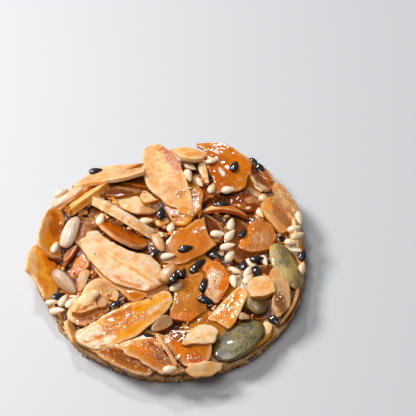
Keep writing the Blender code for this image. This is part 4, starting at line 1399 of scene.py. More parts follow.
class Wiring:
    """Short ways to add and join the nodes of a tree."""

    def __init__(self, tree: bpy.types.NodeTree) -> None:
        """Keeps the tree."""
        self.tree = tree

    def node(self, kind: str, inputs: dict | None = None, **settings: object) -> bpy.types.Node:
        """Adds a node.

        Args:
            kind: Its type.
            inputs: Values or sockets for its inputs, by name or number.
            settings: Values for its properties.

        Returns:
            The node.
        """
        made = self.tree.nodes.new(kind)
        for key, value in settings.items():
            setattr(made, key, value)
        for key, value in (inputs or {}).items():
            self.put(made.inputs[key], value)
        return made

    def out(self, kind: str, inputs: dict | None = None, **settings: object) -> Socket:
        """The first output of a new node."""
        return self.node(kind, inputs, **settings).outputs[0]

    def put(self, socket: Socket, value: object) -> None:
        """Links or sets an input.

        Args:
            socket: The input.
            value: A socket, or the value itself.
        """
        if isinstance(value, Socket):
            self.tree.links.new(value, socket)
        else:
            socket.default_value = value

    def math(self, operation: str, a: object, b: object = 0.0, c: object = 0.0) -> Socket:
        """The result of a sum on up to three numbers."""
        return self.out("ShaderNodeMath", {0: a, 1: b, 2: c}, operation=operation)

    def times(self, first: object, *others: object) -> Socket:
        """Multiplies numbers.

        Args:
            first: The first number.
            others: The numbers to multiply it by, in their order.

        Returns:
            The product.
        """
        for other in others:
            first = self.math("MULTIPLY", first, other)
        return first

    def plus(self, a: object, b: object) -> Socket:
        """The sum of two numbers."""
        return self.math("ADD", a, b)

    def ease(self, value: object, low: float, high: float, to_low: float = 0.0,
             to_high: float = 1.0) -> Socket:
        """A number eased between two ends."""
        ends = {0: value, 1: low, 2: high, 3: to_low, 4: to_high}
        return self.out("ShaderNodeMapRange", ends, interpolation_type="SMOOTHSTEP")

    def mix(self, share: object, a: object, b: object, blend: str = "MIX") -> Socket:
        """Two colours mixed."""
        made = self.node("ShaderNodeMix", {0: share, 6: a, 7: b}, data_type="RGBA", blend_type=blend)
        return made.outputs[2]

    def attribute(self, name: str, output: str = "Fac") -> Socket:
        """A layer of the mesh."""
        return self.node("ShaderNodeAttribute", attribute_name=name).outputs[output]

    def place(self) -> Socket:
        """The place on the object, in millimetres."""
        return self.scaled(self.node("ShaderNodeTexCoord").outputs["Object"], (1 / MM, 1 / MM, 1 / MM))

    def scaled(self, vector: object, scale: tuple[float, float, float]) -> Socket:
        """A vector stretched along its axes."""
        return self.out("ShaderNodeVectorMath", {0: vector, 1: scale}, operation="MULTIPLY")

    def noise(self, vector: object, scale: float, detail: float = 2.0, rough: float = 0.5) -> Socket:
        """Smooth unevenness between 0 and 1."""
        inputs = {"Vector": vector, "Scale": scale, "Detail": detail, "Roughness": rough}
        return self.out("ShaderNodeTexNoise", inputs)

    def vector(self, x: object, y: object, z: object) -> Socket:
        """A vector from three numbers."""
        return self.out("ShaderNodeCombineXYZ", {0: x, 1: y, 2: z})

    def axes(self, vector: object) -> bpy.types.NodeOutputs:
        """The three numbers of a vector."""
        return self.node("ShaderNodeSeparateXYZ", {0: vector}).outputs

    def bump(self, height: object, depth: float) -> Socket:
        """The normal of a surface with relief, its depth in millimetres."""
        return self.out("ShaderNodeBump", {"Height": height, "Distance": depth * MM, "Strength": 1.0})

    def layer(self, name: str, kind: str = "FLOAT") -> Socket:
        """A layer of the mesh in a tree that shapes meshes."""
        return self.out("GeometryNodeInputNamedAttribute", {"Name": name}, data_type=kind)

    def store(self, mesh: object, name: str, value: object, domain: str) -> Socket:
        """The mesh with a new layer of numbers."""
        inputs = {"Geometry": mesh, "Name": name, "Value": value}
        return self.out("GeometryNodeStoreNamedAttribute", inputs, data_type="FLOAT", domain=domain)

    def chance(self, seed: object) -> Socket:
        """A random number between 0 and 1."""
        return self.node("FunctionNodeRandomValue", {"Seed": seed}, data_type="FLOAT").outputs[1]

    def spread(self, points: object, shape: object, turn: object, size: object, own: object) -> Socket:
        """Sets a shape on points as real meshes that each carry a number of their own.

        Args:
            points: The points.
            shape: The mesh to set on them.
            turn: How each one is turned.
            size: How each one is scaled.
            own: The number that each one carries.

        Returns:
            The meshes.
        """
        inputs = {"Points": points, "Instance": shape, "Rotation": turn, "Scale": size}
        marked = self.store(self.out("GeometryNodeInstanceOnPoints", inputs), "own", own, "INSTANCE")
        return self.out("GeometryNodeRealizeInstances", {"Geometry": marked})

    def close(self, mesh: object, coat: object) -> None:
        """Gives the mesh its material and ends the tree."""
        coated = self.out("GeometryNodeSetMaterial", {"Geometry": mesh, "Material": coat})
        self.node("NodeGroupOutput", {0: coated})


@dataclass(frozen=True)
class Finish:
    """What every finish has: a name, its gloss, its depth, its roughness and its relief."""

    name: str = "finish"
    gloss: float = 0.0
    gloss_rough: float = 0.1
    depth: float = 0.0
    depth_mm: float = 1.0
    rough: float = 0.36
    sheen_level: float = 0.5
    relief_mm: float = 0.0
    depth_tones: ClassVar[tuple[float, float, float]] = (1.0, 0.45, 0.2)

    def surface(self, wire: Wiring) -> tuple[object, object, object]:
        """The colour, the roughness and the relief; each finish has its own."""
        raise NotImplementedError

    def build(self) -> Material:
        """Builds the material.

        Returns:
            The material.
        """
        material = bpy.data.materials.new(self.name)
        material.use_nodes = True
        wire = Wiring(material.node_tree)
        inputs = material.node_tree.nodes["Principled BSDF"].inputs
        inputs["Coat Weight"].default_value = self.gloss
        inputs["Coat Roughness"].default_value = self.gloss_rough
        inputs["Subsurface Weight"].default_value = self.depth
        inputs["Subsurface Radius"].default_value = self.depth_tones
        inputs["Subsurface Scale"].default_value = self.depth_mm * MM
        inputs["Specular IOR Level"].default_value = self.sheen_level
        colour, rough, height = self.surface(wire)
        wire.put(inputs["Base Color"], colour)
        wire.put(inputs["Roughness"], rough)
        if height is not None:
            wire.put(inputs["Normal"], wire.bump(height, self.relief_mm))
        return material


@dataclass(frozen=True)
class Almond(Finish):
    """Sliced almond: fibrous and dry where bare, smooth and frothy where glazed, with painted highlights as
    white dots in the froth.
    """

    name: str = "sliced almond"
    depth: float = 0.3
    rough: float = 0.8
    glazed: float = 0.09
    sheen_level: float = 0.2
    relief_mm: float = 0.26
    fibres: tuple[float, float, float] = (0.45, 3.0, 3.0)
    toast: Paint = (0.94, 0.72, 0.42, 1.0)
    stain: Paint = (0.52, 0.13, 0.006, 1.0)
    # Near-white of froth, also the colour of the painted glint dots.
    foam_and_glint: Paint = (0.98, 0.92, 0.84, 1.0)
    stained: float = 0.75
    froth_height: float = 0.45
    # The largest painted glint dot, as a share of a cell.
    largest_glint_dot: float = 0.6

    def marks(self, wire: Wiring, grain: object) -> tuple[object, object, object]:
        """Finds where froth stands on the glaze, and where white dots are painted as glints.

        Args:
            wire: The tree's wiring.
            grain: The place in the slice's own frame.

        Returns:
            Painted glint dots, fine bubbles and curds.
        """
        froth = wire.attribute("froth")
        drops = wire.node("ShaderNodeTexVoronoi", {"Vector": grain, "Scale": 0.95}).outputs
        chance = wire.out("ShaderNodeSeparateColor", {0: drops["Color"]})
        size = wire.times(chance, froth, self.largest_glint_dot)
        inside = wire.ease(wire.math("SUBTRACT", drops["Distance"], size), 0.0, -0.1)
        glint_dots = wire.times(inside, wire.ease(froth, 0.05, 0.2))
        cells = wire.out("ShaderNodeTexVoronoi", {"Vector": grain, "Scale": 2.4}, feature="SMOOTH_F1")
        bubbles = wire.times(wire.ease(cells, 0.5, 0.1), froth)
        lumps = wire.ease(wire.noise(grain, 1.6, 2.0, 0.6), 0.57, 0.62)
        curds = wire.times(lumps, wire.ease(froth, 0.4, 0.9))
        return glint_dots, bubbles, curds

    def surface(self, wire: Wiring) -> tuple[object, object, object]:
        """Wires the finish.

        Args:
            wire: The tree's wiring.

        Returns:
            The colour, the roughness and the relief.
        """
        wet = wire.attribute("wet")
        grain = wire.attribute("grain", "Vector")
        fibre = wire.noise(wire.scaled(grain, self.fibres), 1.0, 4.0, 0.65)
        cloud = wire.noise(grain, 0.5, 3.0)
        dots = wire.noise(grain, 2.5, 3.0, 0.6)
        glint_dots, bubbles, curds = self.marks(wire, grain)
        streaks = wire.ease(fibre, 0.3, 0.7, 0.86, 1.08)
        grey = wire.out("ShaderNodeCombineColor", {0: streaks, 1: streaks, 2: streaks})
        colour = wire.mix(1.0, wire.attribute("tint", "Color"), grey, "MULTIPLY")
        toasted = wire.mix(1.0, colour, self.toast, "MULTIPLY")
        colour = wire.mix(wire.ease(cloud, 0.44, 0.64), colour, toasted)
        speck = wire.times(wire.ease(dots, 0.56, 0.64), wire.attribute("freckle"), self.stained)
        colour = wire.mix(speck, colour, self.stain)
        colour = wire.mix(wire.times(bubbles, 0.15), colour, self.foam_and_glint)
        # Painted highlights: the glint dots, together with the froth's curds, are mixed towards near-white.
        colour = wire.mix(wire.math("MAXIMUM", glint_dots, wire.times(curds, 0.8)), colour, self.foam_and_glint)
        dull = wire.ease(wet, 0.1, 0.75, self.rough, self.glazed)
        dull = wire.plus(dull, wire.ease(dots, 0.3, 0.7, -0.04, 0.06))
        swell = wire.times(wire.noise(grain, 0.8, 1.0), wet)
        bare = wire.times(fibre, wire.ease(wet, 0.2, 0.9, 0.36, 0.06))
        froth = wire.times(wire.plus(curds, wire.plus(bubbles, glint_dots)), self.froth_height)
        return colour, dull, wire.plus(bare, wire.plus(swell, froth))


@dataclass(frozen=True)
class Caramel(Finish):
    """Baked caramel: dark and glossy in the gaps, its darkness there partly painted shade, dull and crumbly
    on the wall.
    """

    name: str = "baked caramel"
    rough: float = 0.1
    dull: float = 0.8
    sheen_level: float = 0.4
    relief_mm: float = 0.4
    burnt: Paint = (0.035, 0.007, 0.001, 1.0)
    sugar: Paint = (0.66, 0.28, 0.05, 1.0)

    def surface(self, wire: Wiring) -> tuple[object, object, object]:
        """Wires the finish.

        Args:
            wire: The tree's wiring.

        Returns:
            The colour, the roughness and the relief.
        """
        place = wire.place()
        cloud = wire.noise(place, 0.6, 3.0)
        fine = wire.noise(place, 3.0, 3.0)
        wet = wire.attribute("wet")
        dark = wire.times(wire.ease(cloud, 0.38, 0.62, 0.0, 0.8), wet)
        # Painted shade: the dark cloud, strongest where the caramel is wet on top in the gaps, darkens it
        # towards near-black, partly to stand in for the shade between the pieces.
        colour = wire.mix(dark, wire.attribute("tint", "Color"), self.burnt)
        colour = wire.mix(wire.ease(fine, 0.6, 0.72, 0.0, 0.5), colour, self.sugar)
        dull = wire.ease(wet, 0.0, 1.0, self.dull, self.rough)
        return colour, dull, wire.plus(cloud, wire.times(fine, 0.35))


@dataclass(frozen=True)
class Chip(Finish):
    """Almond crumbs and flakes of caramel, their colour varying from one to the next."""

    name: str = "almond crumb"
    depth: float = 0.2
    depth_mm: float = 0.6
    rough: float = 0.3
    sheen_level: float = 0.4
    tones: tuple[tuple[float, Tone], ...] = (
        (0.0, BROWN), (0.15, RUST), (0.35, ORANGE), (0.6, GOLD), (0.85, CREAM), (1.0, PALE),
    )

    def surface(self, wire: Wiring) -> tuple[object, object, object]:
        """Wires the finish.

        Args:
            wire: The tree's wiring.

        Returns:
            The colour, the roughness and no relief.
        """
        ramp = wire.node("ShaderNodeValToRGB", {0: wire.attribute("own")})
        stops = ramp.color_ramp.elements
        while len(stops) < len(self.tones):
            stops.new(0.5)
        for stop, (place, tone) in zip(stops, self.tones):
            stop.position = place
            stop.color = (*tone.value, 1.0)
        return ramp.outputs[0], self.rough, None


@dataclass(frozen=True)
class SeedCoat(Finish):
    """The skin of a small seed, in two colours that vary from seed to seed."""

    light: Paint = (0.84, 0.69, 0.50, 1.0)
    dark: Paint = (0.76, 0.53, 0.31, 1.0)
    tip: Paint = (0.56, 0.30, 0.11, 1.0)
    pits: float = 4.0
    relief_mm: float = 0.05

    def surface(self, wire: Wiring) -> tuple[object, object, object]:
        """Wires the finish.

        Args:
            wire: The tree's wiring.

        Returns:
            The colour, the roughness and the relief.
        """
        fine = wire.noise(wire.place(), self.pits, 3.0)
        colour = wire.mix(wire.attribute("own"), self.light, self.dark)
        colour = wire.mix(wire.ease(wire.attribute("along"), 0.82, 1.0), colour, self.tip)
        colour = wire.mix(wire.ease(fine, 0.35, 0.75, 0.0, 0.3), colour, self.dark)
        return colour, self.rough, fine


@dataclass(frozen=True)
class KernelSkin(Finish):
    """The skin of a pumpkin seed or sunflower kernel, streaked along its length."""

    light: Paint = (0.27, 0.23, 0.045, 1.0)
    middle: Paint = (0.10, 0.088, 0.022, 1.0)
    dark: Paint = (0.05, 0.036, 0.012, 1.0)
    film: Paint = (0.26, 0.10, 0.012, 1.0)
    streak: tuple[float, float, float] = (1.0, 2.6, 2.6)
    film_share: float = 0.5
    streak_share: float = 0.8
    edge_share: float = 0.7
    relief_mm: float = 0.08

    def surface(self, wire: Wiring) -> tuple[object, object, object]:
        """Wires the finish.

        Args:
            wire: The tree's wiring.

        Returns:
            The colour, the roughness and the relief.
        """
        grain = wire.attribute("grain", "Vector")
        cloud = wire.noise(grain, 0.35, 3.0)
        streaks = wire.noise(wire.scaled(grain, self.streak), 1.0, 4.0, 0.6)
        patches = wire.ease(wire.noise(grain, 0.6, 3.0), 0.52, 0.68, 0.0, self.film_share)
        colour = wire.mix(wire.ease(cloud, 0.38, 0.62), self.middle, self.light)
        colour = wire.mix(patches, colour, self.film)
        colour = wire.mix(wire.ease(streaks, 0.5, 0.7, 0.0, self.streak_share), colour, self.dark)
        colour = wire.mix(wire.times(wire.attribute("edge"), self.edge_share), colour, self.light)
        colour = wire.mix(1.0, colour, wire.attribute("tint", "Color"), "MULTIPLY")
        return colour, wire.ease(streaks, 0.3, 0.7, self.rough - 0.06, self.rough + 0.1), streaks


@dataclass
class Core:
    """The caramel disc that holds everything: flat below, flared and layered at the wall."""

    around: int = 260
    top_step: float = 0.55
    wall_step: float = 0.24
    under_step: float = 1.0
    wall_top: float = 2.95
    wall_relief: float = 0.28
    wall_fade: float = 0.6
    wall_end: float = 3.2
    wall_reach: tuple[float, float] = (24.3, 25.6)
    ripple: float = 0.12
    dimple: float = 0.26
    dimple_wave: float = 0.18
    under_top: float = 0.46
    gap_cells: int = 2
    syrup_below: float = 1.3
    syrup_top: float = 4.6

    def stations(self) -> list[tuple[float, float, float]]:
        """Spaces rings along the disc's profile.

        Returns:
            For each ring the share of the reach, what is added to it, and the height.
        """
        full = max(DISC.reach_every_30)
        corners = [(0.0, 0.0, 0.0), *DISC.rings, (0.0, 0.0, DISC.height)]
        rings = []
        for (s0, b0, z0), (s1, b1, z1) in zip(corners, corners[1:]):
            length = math.hypot((s1 - s0) * full + b1 - b0, z1 - z0)
            step = self.top_step
            if z1 == 0:
                step = self.under_step
            elif max(z0, z1) < self.wall_top and z1 != z0:
                step = self.wall_step
            count = max(int(length / step), 1)
            for k in range(count):
                share = k / count
                rings.append((s0 + (s1 - s0) * share, b0 + (b1 - b0) * share, z0 + (z1 - z0) * share))
        return rings[1:]

    @staticmethod
    def around_cell(reach: int) -> list[tuple[int, int]]:
        """The steps to the cells within a reach."""
        steps = range(-reach, reach + 1)
        return [(i, j) for i in steps for j in steps if i * i + j * j <= reach * reach + 1]

    def syrup(self, relief: Relief) -> Array:
        """Finds how high the caramel stands in the narrow gaps between the pieces.

        Args:
            relief: The height of everything laid.

        Returns:
            Its height over each cell of the relief.
        """
        steps = self.around_cell(self.gap_cells)
        wide = np.max([np.roll(relief.height, step, (0, 1)) for step in steps], axis=0)
        closed = np.min([np.roll(wide, step, (0, 1)) for step in steps], axis=0)
        level = np.minimum(closed - self.syrup_below, self.syrup_top)
        for _ in range(2):
            level = np.mean([np.roll(level, step, (0, 1)) for step in self.around_cell(1)], axis=0)
        return level

    @staticmethod
    def read(grid: Array, relief: Relief, x: float, y: float) -> float:
        """Finds the value of a grid at a place, between its four nearest cells.

        Args:
            grid: The grid.
            relief: Says how the grid's cells lie.
            x: The place across.
            y: The place back.

        Returns:
            The value.
        """
        gx, gy = x / relief.cell + relief.half_grid, y / relief.cell + relief.half_grid
        i, j = int(gx), int(gy)
        u, v = gx - i, gy - j
        lower = grid[i, j] * (1 - u) + grid[i + 1, j] * u
        return lower * (1 - v) + (grid[i, j + 1] * (1 - u) + grid[i + 1, j + 1] * u) * v

    def spot(self, ring: tuple, angle: float, level: Array, relief: Relief) -> tuple:
        """Finds one point of the disc's surface.

        Args:
            ring: The share of the reach, what is added to it, and the height.
            angle: The angle from +X, in radians.
            level: How high the caramel stands over each cell.
            relief: Says how those cells lie.

        Returns:
            The point.
        """
        share, beyond, height = ring
        reach = max(share * DISC.reach(angle) + beyond, 0.02)
        layer = Vector((math.cos(angle) * 12, math.sin(angle) * 12, height * 1.7))
        fade = self.wall_fade
        wall = min(height, self.wall_end - height, fade) / fade if share == 1.0 else 0.0
        reach += self.wall_relief * max(wall, 0) * (noise.noise(layer) + 0.6 * noise.noise(layer * 2.4))
        x, y, _ = polar(reach, angle)
        lift = dimple = 0.0
        if height > 1:
            lift = DISC.lift(x, y) + self.ripple * noise.noise(Vector((x, y, 2.0)) * 0.9)
        if height == 0 and share < 0.98:
            dimple = self.dimple + self.dimple_wave * noise.noise(Vector((x, y, 4.0)) * 0.35)
        top = height + lift * min(max(height - 1, 0), 1) + dimple
        if share < 1.0 and height > 1:
            top = max(top, self.read(level, relief, x, y))
        return x, y, top

    def paint(self, points: Array) -> tuple[Array, Array]:
        """Gives each point of the disc its colour and gloss.

        Args:
            points: The points.

        Returns:
            The colours, and how glossy each point is.
        """
        z = points[:, 2]
        strata = grain_noise(points * (1, 1, 4.5), 0.35, 5)
        reach = np.hypot(points[:, 0], points[:, 1])
        on_wall = smooth_step(reach, *self.wall_reach) * smooth_step(z, 0.1, 0.5)
        cloud = smooth_step(grain_noise(points, 0.3, 8), -0.3, 0.4)[:, None]
        # The top shows only in the gaps between the pieces; its near-black brown is dark caramel, partly
        # painted shade.
        tint = UMBER.colour * (1 - cloud) + 0.6 * RUST.colour * cloud
        below = (z < self.under_top)[:, None]
        tint = np.where(below, (1 - cloud) * RUST.colour + cloud * BROWN.colour, tint)
        wall_tone = TAN.colour + smooth_step(strata, -0.1, 0.35)[:, None] * (PEACH.colour - TAN.colour)
        tint += on_wall[:, None] * (wall_tone - tint)
        return tint, 1 - 0.8 * on_wall

    def build(self, relief: Relief, material: Material) -> Object:
        """Builds the disc.

        Args:
            relief: The height of everything laid, seeds apart.
            material: Its finish.

        Returns:
            The object.
        """
        stations = [(0.0, 0.0, 0.0)]
        level = self.syrup(relief)
        angles = [TURN * k / self.around for k in range(self.around)]
        for ring in self.stations():
            stations.append([self.spot(ring, angle, level, relief) for angle in angles])
        stations.append((0.0, 0.0, DISC.height))
        points, faces = lathe(stations, self.around)
        tint, wet = self.paint(points)
        body = Body()
        body.add(points, faces, tint=tint, wet=wet)
        return body.make("caramel_core", material)


@dataclass
class AlmondSlices:
    """The almond slices that show and those under them."""

    maker: SliceMaker = field(default_factory=SliceMaker)
    coarse: SliceMaker = field(default_factory=lambda: SliceMaker(spacing=0.6, under_spacing=1.1))
    lower_tones: tuple[Tone, ...] = (AMBER, RUST, ORANGE, BROWN, ROSE)
    rim_tones: tuple[Tone, ...] = (AMBER, ORANGE, TAN, GOLD, ROSE)
    rim_heft: float = 0.6
    rim_ragged: float = 3.0
    first_lower: int = 100

    def shown(self, pile: Pile, material: Material) -> Object:
        """Builds the slices that show.

        Args:
            pile: Where everything lies.
            material: Their finish.

        Returns:
            The object.
        """
        body = Body()
        for k, (item, seat) in enumerate(pile.shown):
            if isinstance(item, Slice):
                self.maker.build(body, item, seat, k)
        return body.make("almond_slices", material)

    def lower(self, pile: Pile, material: Material) -> Object:
        """Builds the slices under those that show, and those in the wall.

        Args:
            pile: Where everything lies.
            material: Their finish.

        Returns:
            The object.
        """
        body = Body()
        for k, (item, seat) in enumerate(pile.lower):
            in_wall = k >= pile.under.count
            tones = self.rim_tones if in_wall else self.lower_tones
            item = replace(item, tone=tones[k % len(tones)], side=CREAM if k % 2 else AMBER)
            # Painted shade: the slices under the others and in the wall are darkened by 0.8.
            item = replace(item, shade=0.8, wet=0.7, froth=0.15, rim=0.3)
            if in_wall:
                item = replace(item, heft=self.rim_heft, ragged=self.rim_ragged)
            self.coarse.build(body, item, seat, self.first_lower + k)
        return body.make("under_slices", material)


@dataclass
class Underside:
    """What shows from below: slices and seeds pressed flat into the caramel."""

    slices: int = 34
    seeds: int = 40
    reach: float = 22.5
    seeds_beyond: float = 3.0
    seeds_height: float = 0.67
    length: tuple[float, float] = (9, 16)
    width: tuple[float, float] = (5.5, 8.5)
    proud: tuple[float, float] = (0.08, 0.22)
    seed: int = 21
    first_slice: int = 200
    maker: SliceMaker = field(default_factory=lambda: SliceMaker(spacing=0.6, under_spacing=1.4, crest=0.03))
    tones: tuple[Tone, ...] = (CREAM, ORANGE, TAN, AMBER, PEACH, GOLD, ROSE)

    def slice(self, draw: random.Random) -> Slice:
        """Draws one slice.

        Args:
            draw: Where the random numbers come from.

        Returns:
            The slice.
        """
        return Slice(
            0, 0, 0, 0, 0, draw.uniform(*self.length), draw.uniform(*self.width), bow=0,
            tail=draw.choice((0, 0, 0.2)), tip=draw.choice((0, 0.1, 0.25)), thick=1.0,
            tone=draw.choice(self.tones), other=draw.choice(self.tones), wet=0.6, freckle=0.5,
            rim=draw.choice((0.2, 0.7)), ragged=1.6,
        )

    def build(self, material: Material) -> Object:
        """Builds the slices.

        Args:
            material: Their finish.

        Returns:
            The object.
        """
        draw = random.Random(self.seed)
        body = Body()
        for k in range(self.slices):
            item = self.slice(draw)
            matrix = turning(draw.uniform(0, 360), 180, draw.uniform(-1, 1))
            lowest = (plain_slice(item)[0] @ matrix.T)[:, 2].min()
            place = spiral_spot(k, self.slices, self.reach, height=draw.uniform(*self.proud) - lowest)
            self.maker.build(body, item, Seat(matrix, place), self.first_slice + k)
        return body.make("underside_slices", material)

    def sesame(self) -> list[Seat]:
        """Places the seeds.

        Returns:
            Where they lie.
        """
        draw = random.Random(self.seed + 1)
        seats = []
        for k in range(self.seeds):
            place = spiral_spot(k, self.seeds, self.reach + self.seeds_beyond, 1.0, self.seeds_height)
            seats.append(Seat(turning(draw.uniform(0, 360), draw.uniform(-5, 5)), place))
        return seats


def start_tree(name: str, sizes: tuple[str, ...]) -> tuple[bpy.types.NodeTree, Wiring, bpy.types.NodeInputs]:
    """Starts a node tree that turns a mesh into another.

    Args:
        name: The tree's name.
        sizes: The names of its numbers; a seed and a material follow them.

    Returns:
        The tree, its wiring and what it is given.
    """
    tree = bpy.data.node_groups.new(name, "GeometryNodeTree")
    kinds = {"Geometry": "Geometry", **dict.fromkeys(sizes, "Float"), "Seed": "Int", "Coat": "Material"}
    for label, kind in kinds.items():
        tree.interface.new_socket(label, in_out="INPUT", socket_type=f"NodeSocket{kind}")
    tree.interface.new_socket("Geometry", in_out="OUTPUT", socket_type="NodeSocketGeometry")
    wire = Wiring(tree)
    return tree, wire, wire.node("NodeGroupInput").outputs


@dataclass
class SesameScatter:
    """Sesame seeds, made once and set at every place by a node tree."""

    name: str
    material: Material
    length: float = 3.35
    width: float = 1.8
    thick: float = 1.1
    taper: float = 0.42
    fullness: float = 0.62
    blunt: float = 1.04
    seed: int = 3
    sizes: tuple[tuple[float, float], ...] = ((0.92, 1.06), (0.9, 1.05), (0.95, 1.1))

    def tree(self) -> bpy.types.NodeTree:
        """Builds the node tree.

        Returns:
            The tree.
        """
        tree, wire, given = start_tree(f"{self.name} scatter", ("Length", "Width", "Thickness", "Taper"))
        ball = wire.out("GeometryNodeMeshUVSphere", {"Segments": 14, "Rings": 10, "Radius": 1.0})
        axes = wire.axes(wire.out("GeometryNodeInputPosition"))
        along = wire.math("MULTIPLY_ADD", axes[2], 0.5, 0.5)
        pinch = wire.math("POWER", wire.math("SUBTRACT", self.blunt, along), given["Taper"])
        reach = wire.times(axes[2], wire.times(given["Length"], 0.5))
        across = wire.times(axes[0], pinch, wire.times(given["Width"], self.fullness))
        through = wire.times(axes[1], pinch, wire.times(given["Thickness"], self.fullness))
        marked = wire.store(ball, "along", along, "POINT")
        inputs = {"Geometry": marked, "Position": wire.vector(reach, across, through)}
        shaped = wire.out("GeometryNodeSetPosition", inputs)
        smooth = wire.out("GeometryNodeSetShadeSmooth", {"Geometry": shaped})
        heading, size = wire.layer("heading", "FLOAT_VECTOR"), wire.layer("size", "FLOAT_VECTOR")
        seeds = wire.spread(given["Geometry"], smooth, heading, size, wire.chance(given["Seed"]))
        wire.close(seeds, given["Coat"])
        return tree

    def build(self, seats: list[Seat]) -> Object:
        """Sets a seed at each place.

        Args:
            seats: Where the seeds lie.

        Returns:
            The object, a plain mesh.
        """
        draw = random.Random(self.seed)
        spots = bpy.data.meshes.new(f"{self.name} places")
        spots.from_pydata([Vector(seat.place) * MM for seat in seats], [], [])
        headings = np.array([seat.heading() for seat in seats])
        sizes = np.array([[draw.uniform(*ends) for ends in self.sizes] for _ in seats])
        for layer, values in (("heading", headings), ("size", sizes)):
            spots.attributes.new(layer, "FLOAT_VECTOR", "POINT").data.foreach_set("vector", values.ravel())
        values = {
            "Length": self.length * MM, "Width": self.width * MM, "Thickness": self.thick * MM,
            "Taper": self.taper, "Seed": self.seed, "Coat": self.material,
        }
        return grow(self.name, spots, self.tree(), values)


def grow(name: str, start: bpy.types.Mesh, tree: bpy.types.NodeTree, values: dict) -> Object:
    """Runs a node tree on a mesh and keeps the result as a plain mesh.

    Args:
        name: The new object's name.
        start: The mesh that the tree starts from.
        tree: The node tree.
        values: The tree's inputs by name.

    Returns:
        The new object.
    """
    carrier = placed(bpy.data.objects.new(f"{name} carrier", start))
    modifier = carrier.modifiers.new("grow", "NODES")
    modifier.node_group = tree
    for item in tree.interface.items_tree:
        if item.in_out == "INPUT" and item.name in values:
            modifier[item.identifier] = values[item.name]
    graph = bpy.context.evaluated_depsgraph_get()
    mesh = bpy.data.meshes.new_from_object(carrier.evaluated_get(graph))
    mesh.name = name
    bpy.data.objects.remove(carrier)
    return placed(bpy.data.objects.new(name, mesh))


@dataclass
class Crumbs:
    """Chips of almond, or beads of glaze, strewn by a node tree over a surface where it is marked."""

    name: str
    material: Material
    mark: str = "crumby"
    bead: bool = False
    density: float = 0.9
    smallest: float = 0.3
    largest: float = 1.3
    flatness: float = 0.45
    jagged: float = 1.1
    tilt: float = 0.7
    seed: int = 1
    mostly_small: float = 1.6
    jags_per_metre: float = 1500.0
    lowest: float = 0.03

    def chip(self, wire: Wiring) -> Socket:
        """Adds the one crumb or bead that is strewn.

        Args:
            wire: The tree's wiring.

        Returns:
            Its mesh.
        """
        if self.bead:
            ball = wire.out("GeometryNodeMeshIcoSphere", {"Radius": 0.5, "Subdivisions": 2})
            return wire.out("GeometryNodeSetShadeSmooth", {"Geometry": ball})
        inputs = {"Size": (1.0, 0.55, 0.45), "Vertices X": 5, "Vertices Y": 3, "Vertices Z": 3}
        return wire.out("GeometryNodeMeshCube", inputs)

    def tree(self) -> bpy.types.NodeTree:
        """Builds the node tree.

        Returns:
            The tree.
        """
        sizes = ("Density", "Smallest", "Largest", "Flatness", "Jagged", "Tilt")
        tree, wire, given = start_tree(f"{self.name} scatter", sizes)
        seed, tilt = given["Seed"], given["Tilt"]
        density = wire.times(wire.layer(self.mark), given["Density"])
        inputs = {"Mesh": given["Geometry"], "Density": density, "Seed": seed}
        strewn = wire.node("GeometryNodeDistributePointsOnFaces", inputs).outputs
        back = wire.times(tilt, -1.0)
        ends = {"Min": wire.vector(back, back, 0.0), "Max": wire.vector(tilt, tilt, 6.28), "Seed": seed}
        spin = wire.out("FunctionNodeRandomValue", ends, data_type="FLOAT_VECTOR")
        inputs = {0: strewn["Rotation"], 1: spin}
        turned = wire.out("FunctionNodeRotateRotation", inputs, rotation_space="LOCAL")
        span = wire.math("SUBTRACT", given["Largest"], given["Smallest"])
        share = wire.math("POWER", wire.chance(seed), self.mostly_small)
        wide = wire.plus(given["Smallest"], wire.times(share, span))
        size = wire.vector(wide, wide, wire.times(wide, given["Flatness"]))
        chips = wire.spread(strewn["Points"], self.chip(wire), turned, size, wire.chance(wire.plus(seed, 5)))
        place = wire.out("GeometryNodeInputPosition")
        inputs = {"Vector": place, "Scale": self.jags_per_metre, "Detail": 1.0}
        rough = wire.node("ShaderNodeTexNoise", inputs).outputs["Color"]
        push = wire.out("ShaderNodeVectorMath", {0: rough, 1: (0.5, 0.5, 0.5)}, operation="SUBTRACT")
        push = wire.out("ShaderNodeVectorMath", {0: push, "Scale": given["Jagged"]}, operation="SCALE")
        shaped = wire.out("GeometryNodeSetPosition", {"Geometry": chips, "Offset": push})
        axes = wire.axes(place)
        above = wire.vector(axes[0], axes[1], wire.math("MAXIMUM", axes[2], self.lowest * MM))
        shaped = wire.out("GeometryNodeSetPosition", {"Geometry": shaped, "Position": above})
        wire.close(shaped, given["Coat"])
        return tree

    def build(self, start: bpy.types.Mesh) -> Object:
        """Strews the crumbs.

        Args:
            start: The surface, one of whose layers says where.

        Returns:
            The object, a plain mesh.
        """
        values = {
            "Density": self.density / MM**2, "Smallest": self.smallest * MM, "Largest": self.largest * MM,
            "Flatness": self.flatness, "Jagged": self.jagged * MM, "Tilt": self.tilt, "Seed": self.seed,
            "Coat": self.material,
        }
        return grow(self.name, start, self.tree(), values)


def marked_mesh(name: str, points: Array, faces: list, crumby: Array) -> bpy.types.Mesh:
    """Makes a surface that says where crumbs fall.

    Args:
        name: The mesh's name.
        points: Its points, in millimetres.
        faces: Its faces.
        crumby: How thickly crumbs fall at each point.

    Returns:
        The mesh.
    """
    mesh = bpy.data.meshes.new(name)
    mesh.from_pydata((points * MM).tolist(), [], faces)
    mesh.attributes.new("crumby", "FLOAT", "POINT").data.foreach_set("value", crumby)
    return mesh


